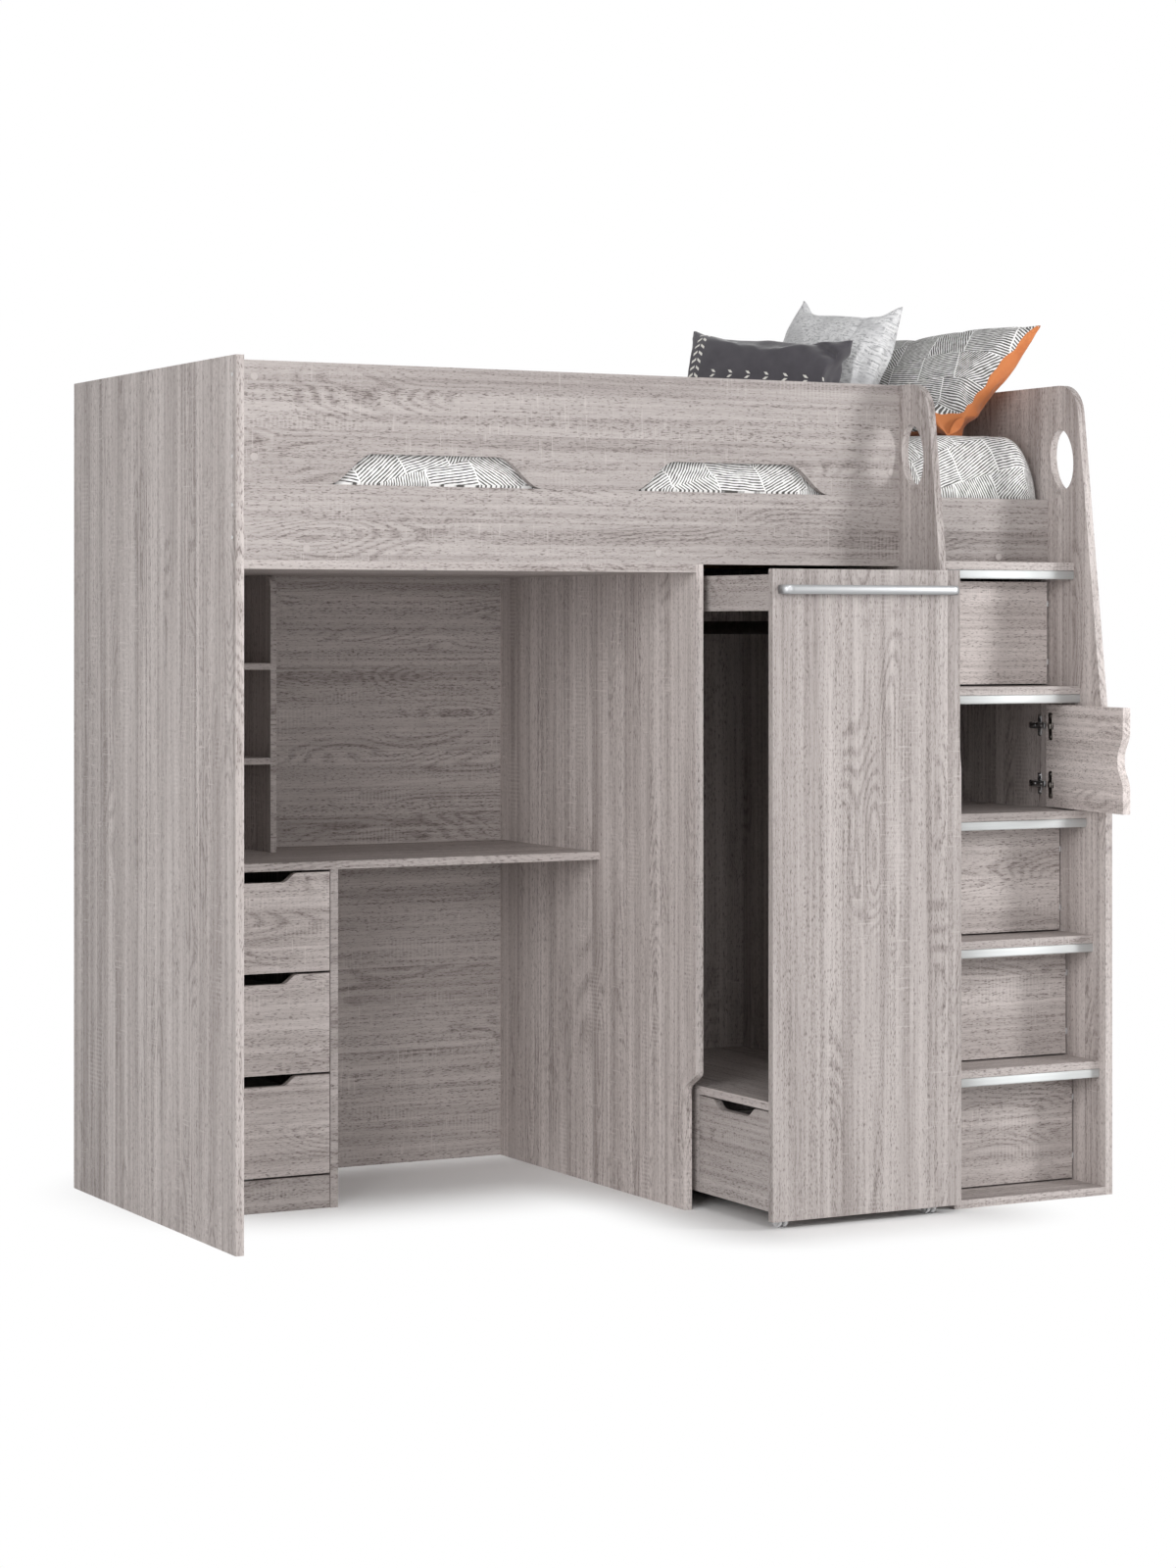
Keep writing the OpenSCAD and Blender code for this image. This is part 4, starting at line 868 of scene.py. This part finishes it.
class SLEEPER_OT_caps(bpy.types.Operator):
    """Makes the domed cover caps on the front and the screw heads in the end panels"""
    bl_idname = "sleeper.caps"
    bl_label = "Make Caps and Screws"

    def execute(self, context):
        made = finishes()
        dome = context.scene.sleeper_fittings.cap_dome
        # Dome: the rise falls with the square of the distance from the middle
        r = np.array([8.5, 8.5, 8.1, 7.4, 5.6, 3.4, 0.1]) / 1000
        out = -np.array([0.0, 0.5, 0.85, 1.0, 1.0, 1.0, 1.0]) / 1000 - dome * (
            1 - (r / r[0]) ** 2)
        caps = [turned_shape(place(x, 0, z), 1, np.column_stack([out, r]), 32)
                for x, z in ((40, 1623), (40, 1787), (1582, 1623), (156, 1437), (983, 1437),
                             (1875, 1437))]
        add_piece("cap_set", caps, [made["grey_polyethylene"]], "frame", ["cover_caps"])
        low, high = box("panel_screws")
        head = np.array([[0, 3.5], [0.6, 3.5], [1.0, 3.0], [1.0, 2.2], [0.2, 1.6],
                         [0.2, 0.1]]) / 1000
        y = place(0, 20, 0)[1]
        heads = [turned_shape((x, y, z / 1000), 0, head * [way, 1], 18)
                 for x, way, heights in ((low[0] + 0.001, -1, (1459, 1525, 1624, 1790)),
                                         (high[0] - 0.001, 1, (1459, 1525)))
                 for z in heights]
        add_piece("screw_set", heads, [made["zinc_steel"]], "frame", ["panel_screws"])
        return {"FINISHED"}


class SLEEPER_OT_mattress(bpy.types.Operator):
    """Makes the mattress: a slab with rounded corners and a piped edge round each face"""
    bl_idname = "sleeper.mattress"
    bl_label = "Make Mattress"

    def execute(self, context):
        low, high = box("mattress")
        middle, half = (low + high) / 2, (high - low) / 2
        shells = [rounded_block(low, high, 2, 0.045, 0.014, 6)]
        outline = rounded_outline(half[0] - 0.004, half[1] - 0.004, 0.041, 8)
        away = rounded_outline(1.0, 1.0, 1.0, 8)
        pipe, a = 0.003, np.linspace(0, 2 * math.pi, 9)[:-1]
        n, m = len(outline), len(a)
        for z in (low[2] + 0.012, high[2] - 0.012):
            # Piping 6 mm thick: a ring of rings round the outline
            rings = np.zeros((n, m, 3))
            rings[:, :, :2] = (middle[:2] + outline[:, None, :]
                               + away[:, None, :] * pipe * np.cos(a)[None, :, None])
            rings[:, :, 2] = z + pipe * np.sin(a)
            faces = grid_faces(n + 1, m, closed=True) % (n * m)
            shells.append(outwards((rings.reshape(-1, 3), [faces], 0)))
        piece = add_piece("foam_mattress", shells, [finishes()["knitted_cover"]], "frame",
                          ["mattress"])
        return {"FINISHED"}


def duvet_lines(low, high, rounds, edges, count):
    """Grid lines one way: close in both rounded edges, even between them, and on the edges given.

    In a rounded edge they lie at rounds·(1 − cos a), so that its arc is cut evenly.
    """
    t = rounds * (1 - np.cos(np.linspace(0, math.pi / 2, 25)))
    return np.unique(np.round(np.concatenate(
        [low + t, high - t, np.linspace(low + rounds, high - rounds, count), edges]), 3))


def duvet_top(x, y, puff):
    """Upper side of the duvet over a grid of its plan, and each point's share in a side, 0 to 1.

    Its crown of (1 − u^4)·(1 − v^4) falls by 1 − sqrt(1 − r²) in the rounded edge.
    """
    (x0, y0, foot), (x1, y1, top) = span("duvet")
    edge, crown = 15, 10
    top -= crown
    # How far into the rounded edge a point lies, from 0 at the flat top to 1 at the rim
    a = np.clip(1 - np.minimum(x - x0, x1 - x) / DUVET_ROUNDS[0], 0, 1)
    b = np.clip(1 - np.minimum(y - y0, y1 - y) / DUVET_ROUNDS[1], 0, 1)
    # Rounded in plan too: a·sqrt(1 − b²/2) and b·sqrt(1 − a²/2) bring a square to a disc
    da, db = a * np.sqrt(1 - b * b / 2), b * np.sqrt(1 - a * a / 2)
    px = x + np.sign((x0 + x1) / 2 - x) * DUVET_ROUNDS[0] * 0.5 * (a - da)
    py = y + np.sign((y0 + y1) / 2 - y) * DUVET_ROUNDS[1] * 0.7 * (b - db)
    r = np.clip(np.hypot(da, db), 0, 1)
    u, v = (2 * x - x0 - x1) / (x1 - x0), (2 * y - y0 - y1) / (y1 - y0)
    z = top + crown * (1 - u ** 4) * (1 - v ** 4) - (top - foot - edge) * (
        1 - np.sqrt(1 - r * r))
    # Soft rises, folds that run across the bed, and small creases, all fading at the rim
    inside = np.sqrt(1 - r ** 3)
    folds = 1 - np.abs(value_noise(x + 0.5 * y, 0.35 * y, 150, 3)) * 2
    z += inside * (puff * value_noise(x, y, 260, 1) + puff * 0.5 * folds
                   + 0.25 * puff * value_noise(x, y * 0.5, 45, 2))
    # Sides: shallow hollows behind the guard, and bulges into its two cut-outs
    wall = ramp(b, 0.75, 1.0) * ramp(1 - a, 0, 0.4)
    side = np.where(y < (y0 + y1) / 2, 1.0, -1.0)
    py += side * wall * (3.5 + 3.5 * value_noise(x, z * 1.6, 55, 4))
    sill = span("guard_board")[0][2]
    for middle in CUTOUTS:
        # Half the cut-out's width, less as it rises from its sill to its top edge
        reach = 248 - 103 * np.clip((z - sill) / 65, 0, 1)
        bulge = (ramp(reach - np.abs(x - middle), 4, 40) * ramp(z, sill - 4, sill + 2)
                 * ramp(sill + 70 - z, 4, 26) * (y < (y0 + y1) / 2) * ramp(b, 0.6, 0.9))
        py -= bulge * (10 + 3 * value_noise(x, z * 2, 40, 5))
    return np.stack([px, py, z], axis=-1), wall


class SLEEPER_OT_duvet(bpy.types.Operator):
    """Makes the duvet, tucked behind the guards and soft on top"""
    bl_idname = "sleeper.duvet"
    bl_label = "Make Duvet"

    def execute(self, context):
        bedding = context.scene.sleeper_bedding
        low, high = span("duvet")
        # Edges and top of the mattress that the duvet lies over
        (left, front, _), (right, rear, mattress_top) = span("mattress", 0.3)
        lines = (duvet_lines(low[0], high[0], DUVET_ROUNDS[0], [left, right], 205),
                 duvet_lines(low[1], high[1], DUVET_ROUNDS[1], [front, rear], 96))
        x, y = np.meshgrid(*lines, indexing="ij")
        cover, wall = duvet_top(x, y, 1000 * bedding.puff)
        px, py, _ = np.moveaxis(cover, -1, 0)
        within = (x >= left) & (x <= right) & (y >= front) & (y <= rear)
        lining = np.stack([px, np.where(wall > 0, y + (py - y) * 0.2, py),
                           np.where(within, mattress_top, low[2])], axis=-1)
        n, m = x.shape
        upper = grid_faces(n, m)[:, ::-1]
        ring = np.concatenate([np.arange(m), np.arange(1, n) * m + m - 1,
                               (n - 1) * m + np.arange(m - 2, -1, -1),
                               np.arange(n - 2, 0, -1) * m])
        after = np.roll(ring, -1)
        rim = np.stack([ring, after, after + n * m, ring + n * m], axis=1)
        points = place(0, 0, 0) + np.concatenate([cover.reshape(-1, 3),
                                                  lining.reshape(-1, 3)]) / 1000
        # The flat cloth is as long as the surface is, measured along its middle lines
        long_way = np.linalg.norm(np.diff(cover[:, m // 2], axis=0), axis=1)
        short_way = np.linalg.norm(np.diff(cover[n // 2], axis=0), axis=1)
        marks = [np.concatenate([[0], np.cumsum(way)]) / 1000 for way in (long_way, short_way)]
        uv = np.stack(np.meshgrid(*marks, indexing="ij"), axis=-1).reshape(-1, 2)
        shell = outwards((points, [upper, upper[:, ::-1] + n * m, rim], 0))
        cotton = hatched_cotton("hatched_duvet_cotton", bedding, (0.31, 0.17, 0), -0.25)
        piece = add_piece("duvet_cover", [shell], [cotton], "frame", ["duvet"],
                          np.vstack([uv, uv]))
        return {"FINISHED"}


def pillow_place(size, pose, node, points):
    """Rolls, leans and turns a lying pillow's points, then sets them where the CAD pillow is.

    The pose holds, in degrees, how far it leans back from upright, its turn and its roll. The same
    steps carry the CAD pillow's own form, whose box gives the shift.
    """
    roll, lean, turn = math.radians(pose[2]), math.radians(90 - pose[0]), math.radians(pose[1])
    about_x = np.array([[1, 0, 0], [0, math.cos(lean), -math.sin(lean)],
                        [0, math.sin(lean), math.cos(lean)]])
    whole = about_z(turn) @ about_x @ about_z(roll)
    u, v = np.meshgrid(np.linspace(-1, 1, 15), np.linspace(-1, 1, 15), indexing="ij")
    form = []
    for side in (1, -1):
        crown = np.sqrt((1 - u * u) * (1 - v * v))
        form.append(np.stack([size[0] / 2 * u * (1 - 0.07 * (1 - v * v)),
                              size[1] / 2 * v * (1 - 0.07 * (1 - u * u)),
                              side * size[2] / 2 * crown], axis=-1).reshape(-1, 3))
    form = np.concatenate(form) @ whole.T
    low, high = box(node)
    shift = (low + high) / 2 - (form.min(axis=0) + form.max(axis=0)) / 2
    return points @ whole.T + shift


def stuffed(points, faces, corners, cap):
    """Blows the case up as cloth with its corners held, and caps how far a point may move."""
    mesh = bpy.data.meshes.new("case")
    mesh.from_pydata(points.tolist(), [], faces.tolist())
    case = add_object("case", mesh)
    held = case.vertex_groups.new(name="held")
    held.add([int(c) for c in corners], 1.0, "REPLACE")
    cloth = case.modifiers.new("stuffing", "CLOTH")
    settings = cloth.settings
    settings.quality = 5
    settings.mass = 0.25
    settings.tension_stiffness = settings.compression_stiffness = 18
    settings.shear_stiffness = 6
    settings.bending_stiffness = 0.08
    settings.use_pressure = True
    settings.uniform_pressure_force = 4
    settings.shrink_min = -0.05
    settings.vertex_group_mass = "held"
    settings.effector_weights.gravity = 0
    last = 20
    cloth.point_cache.frame_start, cloth.point_cache.frame_end = 1, last
    for moment in range(1, last + 1):
        bpy.context.scene.frame_set(moment)
    shaped = case.evaluated_get(bpy.context.evaluated_depsgraph_get()).to_mesh()
    moved = np.empty(len(points) * 3)
    shaped.vertices.foreach_get("co", moved)
    move = moved.reshape(-1, 3) - points
    far = np.linalg.norm(move, axis=1)[:, None]
    bpy.data.objects.remove(case)
    bpy.data.meshes.remove(mesh)
    bpy.context.scene.frame_set(1)
    return points + move * np.minimum(1, cap / np.maximum(far, 1e-9))


def pillow(name, node, size, pose, materials, shape, cap, lines=(64, 40)):
    """Pillow from a grid: x = half length·u and y = half width·v, drawn in between the corners,
    and z = half thickness·sqrt((1 − u²)(1 − v²)) on both sides, stuffed, creased and leaned.

    size is its length, width and thickness in millimetres. shape takes u, v, the side and the
    points and gives the moved points, and cap is how far in metres the stuffing moves one at most.
    """
    n, m = lines
    s, t = np.linspace(-1, 1, n), np.linspace(-1, 1, m)
    s, t = (s + np.sin(s * math.pi / 2)) / 2, (t + np.sin(t * math.pi / 2)) / 2
    u, v = np.meshgrid(s, t, indexing="ij")
    size = np.array(size) / 1000
    crown = np.sqrt(np.maximum(0, (1 - u * u) * (1 - v * v)))
    lay = [size[0] / 2 * u * (1 - 0.05 * (1 - v * v)), size[1] / 2 * v * (1 - 0.05 * (1 - u * u))]
    thick = 0.42 * size[2] * crown
    front, back = (np.stack(lay + [z], axis=-1).reshape(-1, 3) for z in (thick, -thick))
    rim = np.zeros((n, m), bool)
    rim[[0, -1]] = rim[:, [0, -1]] = True
    rim = rim.ravel()
    # The back shares the front's rim, so the case is closed along its seam
    number = np.where(rim, np.arange(n * m), n * m + np.cumsum(~rim) - 1)
    ahead = grid_faces(n, m)[:, ::-1]
    behind = number[grid_faces(n, m)]
    points = np.concatenate([front, back[~rim]])
    if np.dot(np.cross(points[ahead[:, 1]] - points[ahead[:, 0]],
                       points[ahead[:, 2]] - points[ahead[:, 0]]).sum(axis=0), (0, 0, 1)) < 0:
        ahead, behind = ahead[:, ::-1], behind[:, ::-1]
    corners = [0, m - 1, (n - 1) * m, n * m - 1]
    points = stuffed(points, np.concatenate([ahead, behind]), corners, cap)
    us, vs = (np.concatenate([w.ravel(), w.ravel()[~rim]]) for w in (u, v))
    side = np.concatenate([np.ones(n * m), -np.ones((~rim).sum())])
    # Pleats that fan from each corner: a sine of the angle that fades with the distance
    for i, (cu, cv) in enumerate(((-1, -1), (-1, 1), (1, -1), (1, 1))):
        du, dv = (cu - us) * size[0] / 2, (cv - vs) * size[1] / 2
        away, angle = np.hypot(du, dv), np.arctan2(np.abs(dv), np.abs(du))
        pleat = np.sin(angle * (13 + 2 * i) + i) * np.exp(-away / 0.07) * ramp(away, 0.0, 0.04)
        points[:, 2] += side * 0.006 * pleat * np.sqrt((1 - us ** 2) * (1 - vs ** 2) + 0.02)
    points = shape(us, vs, side, points)
    points = pillow_place(size, pose, node, points)
    uv = np.stack([us * size[0] / 2, vs * size[1] / 2], axis=1)
    faces = [(points, [ahead], 0), (np.zeros((0, 3)), [behind - len(points)], 1)]
    if len(materials) == 1:
        faces = [(points, [ahead, behind], 0)]
    piece = add_piece(name, faces, materials, "frame", [node], uv)
    finer = piece.modifiers.new("smoother", "SUBSURF")
    finer.levels = finer.render_levels = 1
    return piece


class SLEEPER_OT_pillows(bpy.types.Operator):
    """Makes the bed pillow and the two cushions"""
    bl_idname = "sleeper.pillows"
    bl_label = "Make Pillows"

    def execute(self, context):
        bedding = context.scene.sleeper_bedding
        hatched = hatched_cotton("hatched_pillow_cotton", bedding, (1.23, 0.57, 0), 0.12, "#cb7c48")
        orange = plain_cotton("orange_cotton", "#cf7f4a", "#c06d3a", bedding)

        def crumpled(u, v, side, points):
            # Sharp folds fan from a point inside the lower near corner, and the near end wrinkles
            near = ramp(u, 0.55, 1.0)
            low = ramp(-v, 0.2, 0.9) * ramp(u, 0.45, 1.0)
            dx, dy = 333 * (u - 0.72), 176 * (v + 0.35)
            fan = 1 - 2 * np.abs(np.sin(3.5 * np.arctan2(dy, dx) + 0.6))
            points[:, 2] += side * (0.005 * near * value_noise(u * 300, v * 170, 34, 11)
                                    + 0.006 * low * value_noise(u * 300, v * 170, 26, 12)
                                    + 0.026 * low * fan * ramp(np.hypot(dx, dy), 15, 60))
            points[:, 0] -= 0.018 * low
            # The front wraps round the near end, so only a narrow strip of the back shows
            wrap = np.where(side > 0, ramp(u, 0.5, 1.0), ramp(u, 0.86, 1.0))
            points[:, 2] -= 0.016 * wrap * ramp(v, -1.0, -0.3)
            points[:, 1] += 0.011 * ramp(u, 0.65, 1.0) * ramp(v, 0.4, 1.0)
            # The near seam isn't straight
            points[:, 0] += 0.006 * ramp(u, 0.8, 1.0) * value_noise(u * 0, v * 170, 38, 13)
            return points

        def eared(u, v, side, points):
            # The top edge is flat between two raised corners
            high = ramp(v, 0.2, 1.0)
            points[:, 1] += high * (0.016 * (1 - u ** 2) - 0.018 * ramp(1 - np.abs(u), 0, 0.24))
            ears = ramp(np.abs(u), 0.75, 1.0) * ramp(v, 0.7, 1.0)
            points[:, 1] += 0.008 * ears
            # The flap: a step that rises towards the near side, with a crease at its foot
            line = u - 0.54 - 0.1 * v
            flap = ramp(1 - np.abs(v), 0, 0.25) * (side > 0)
            points[:, 2] += flap * (0.005 * ramp(line, 0.0, 0.04) * ramp(0.42 - line, 0, 0.3)
                                    - 0.008 * np.exp(-(line / 0.022) ** 2))
            points[:, 2] += side * 0.004 * value_noise(u * 200, v * 160, 46, 21) * (
                1 - u ** 2) * (1 - v ** 2)
            return points

        def dented(u, v, side, points):
            # A crease slants down from the top edge to a dent beside the near end
            line = v - 0.9 + 0.9 * (u - 0.5)
            crease = np.exp(-(line / 0.1) ** 2) * ramp(u, 0.42, 0.6) * ramp(1 - u, 0.02, 0.14)
            points[:, 2] -= side * 0.020 * crease
            points[:, 2] += side * 0.006 * np.exp(-((line - 0.2) / 0.1) ** 2) * ramp(u, 0.5, 0.7)
            # The top edge is almost straight and waves a little
            points[:, 1] += ramp(v, 0.2, 1.0) * (
                0.013 * (1 - u ** 2) - 0.006 * ramp(1 - np.abs(u), 0, 0.2)
                + 0.002 * value_noise(u * 224, v * 0, 40, 31))
            points[:, 0] -= 0.012 * ramp(u, 0.8, 1.0) * ramp(0.75 - v, 0.0, 0.5)
            return points

        pillow("bed_pillow_case", "bed_pillow", (667, 353, 150), (41, -89.4, 0),
               [hatched, orange], crumpled, 0.018, (76, 44))
        pillow("light_cushion_case", "light_cushion", (404, 319, 120), (19, -84, -7),
               [heather_wool("heather_wool")], eared, 0.016, (52, 44))
        charcoal = plain_cotton("charcoal_cotton", "#413e44", "#4e4b51", bedding, 0.6, True)
        pillow("dark_cushion_case", "dark_cushion", (448, 226, 96), (13, -64, -5.5),
               [charcoal], dented, 0.016, (60, 36))
        return {"FINISHED"}


class SLEEPER_OT_stage(bpy.types.Operator):
    """Sets up the pale floor, the soft lamps and the camera"""
    bl_idname = "sleeper.stage"
    bl_label = "Set Up Stage"

    def execute(self, context):
        stage = context.scene.sleeper_stage
        scene = context.scene
        scene.view_settings.view_transform = "Standard"
        self.floor()
        self.world(scene, stage)
        for name, kind, strength, where, towards, size in (
                ("soft_box_right", "AREA", stage.key_power, (3.3, -2.95, 1.8), (0.4, 0, 1.3), 0.9),
                ("soft_box_front", "AREA", stage.front_power, (-1.2, -5.6, 1.9), (0.1, 0, 1.0),
                 2.8),
                ("soft_box_left", "AREA", stage.fill_power, (-4.4, -3.4, 2.0), (0, 0, 0.9), 2.8),
                ("soft_box_high", "AREA", stage.high_power, (-1.4, -4.0, 3.8), (0, 0, 0.9), 2.0),
                ("overhead_sun", "SUN", stage.overhead, (-0.6, -1.6, 5.0), (0, 0, 0), 0)):
            data = bpy.data.lights.new(name, kind)
            data.energy = strength
            if kind == "AREA":
                data.shape, data.size = "DISK", size
            else:
                data.angle = math.radians(70)
            lamp = add_object(name, data)
            lamp.location = where
            aim = np.array(where) - np.array(towards)
            flat = math.hypot(aim[0], aim[1])
            lamp.rotation_euler = (math.atan2(flat, aim[2]), 0, math.atan2(aim[0], -aim[1]))
        data = bpy.data.cameras.new("camera")
        data.sensor_fit, data.sensor_height, data.lens = "VERTICAL", 36, stage.lens
        data.shift_y = stage.picture_shift
        camera = add_object("camera", data)
        camera.location, camera.rotation_euler = stage.camera_place, stage.camera_turn
        scene.camera = camera
        return {"FINISHED"}

    def floor(self):
        """Pale matt floor that fades to plain white with the distance from the bed."""
        mesh = bpy.data.meshes.new("floor")
        half = 30.0
        z = -0.0003
        mesh.from_pydata([(-half, -half, z), (half, -half, z), (half, half, z), (-half, half, z)],
                         [], [(0, 1, 2, 3)])
        material, node, shader = new_material("matt_floor_paint", Roughness=0.9,
                                              Specular_IOR_Level=0.1)
        shader["Base Color"].default_value = linear("#fafafa")
        where = node("TexCoord", out="Object")
        share = seen_rays(node)
        # Two patches keep their full shadow, one under the desk and one under the wardrobe. Each
        # fades over its own reach with the distance: how far each way, less half its size
        for middle, half, reach in (((-0.1, 0.42, 0), (0.55, 0.07, 1.0), 0.54),
                                    ((0.334, -0.073, 0), (0.238, 0.473, 1.0), 0.27)):
            away = node("VectorMath SUBTRACT", where, middle)
            away = node("VectorMath ABSOLUTE", away)
            away = node("VectorMath SUBTRACT", away, half)
            away = node("VectorMath MAXIMUM", away, (0, 0, 0))
            away = node("VectorMath LENGTH", away)
            faded = node("MapRange", away, 0.0, reach, interpolation_type="SMOOTHSTEP")
            share = node("Math MULTIPLY", share, faded)
        white = node("Emission", WHITE, 1.0)
        out = next(n for n in material.node_tree.nodes if n.type == "OUTPUT_MATERIAL")
        node("MixShader", share, shader["Base Color"].node.outputs[0], white,
             to=out.inputs["Surface"])
        mesh.materials.append(material)
        add_object("floor", mesh)

    def world(self, scene, stage):
        """White behind the bed and in its gloss, and an even ambient light for the rest."""
        world = bpy.data.worlds.new("studio")
        scene.world = world
        world.use_nodes = True
        world.node_tree.nodes.clear()
        node = functools.partial(add_node, world.node_tree)
        even = node("Background", WHITE, stage.ambient)
        white = node("Background", WHITE, 1.0)
        node("OutputWorld", node("MixShader", seen_rays(node), even, white))


OPERATORS = (SLEEPER_OT_stage, SLEEPER_OT_boards, SLEEPER_OT_rails, SLEEPER_OT_handle,
             SLEEPER_OT_bars, SLEEPER_OT_castors, SLEEPER_OT_hinges, SLEEPER_OT_caps,
             SLEEPER_OT_mattress, SLEEPER_OT_duvet, SLEEPER_OT_pillows)
GROUPS = {"sleeper_finish": SleeperFinish, "sleeper_fittings": SleeperFittings,
          "sleeper_bedding": SleeperBedding, "sleeper_stage": SleeperStage}


class SLEEPER_PT_panel(bpy.types.Panel):
    """Lists the sleeper's settings and steps"""
    bl_idname = "SLEEPER_PT_panel"
    bl_label = "High Sleeper"
    bl_space_type = "VIEW_3D"
    bl_region_type = "UI"
    bl_category = "Sleeper"

    def draw(self, context):
        for group_name, group in GROUPS.items():
            section = self.layout.box()
            for setting in group.__annotations__:
                section.prop(getattr(context.scene, group_name), setting)
        for operator in OPERATORS:
            self.layout.operator(operator.bl_idname)


def register():
    for group_name, group in GROUPS.items():
        bpy.utils.register_class(group)
        setattr(bpy.types.Scene, group_name, PointerProperty(type=group))
    for made in OPERATORS + (SLEEPER_PT_panel,):
        bpy.utils.register_class(made)


def unregister():
    for made in reversed(OPERATORS + (SLEEPER_PT_panel,)):
        bpy.utils.unregister_class(made)
    for group_name, group in GROUPS.items():
        delattr(bpy.types.Scene, group_name)
        bpy.utils.unregister_class(group)


def main():
    register()
    for operator in OPERATORS:
        area, name = operator.bl_idname.split(".")
        getattr(getattr(bpy.ops, area), name)()


if __name__ == "__main__":
    main()
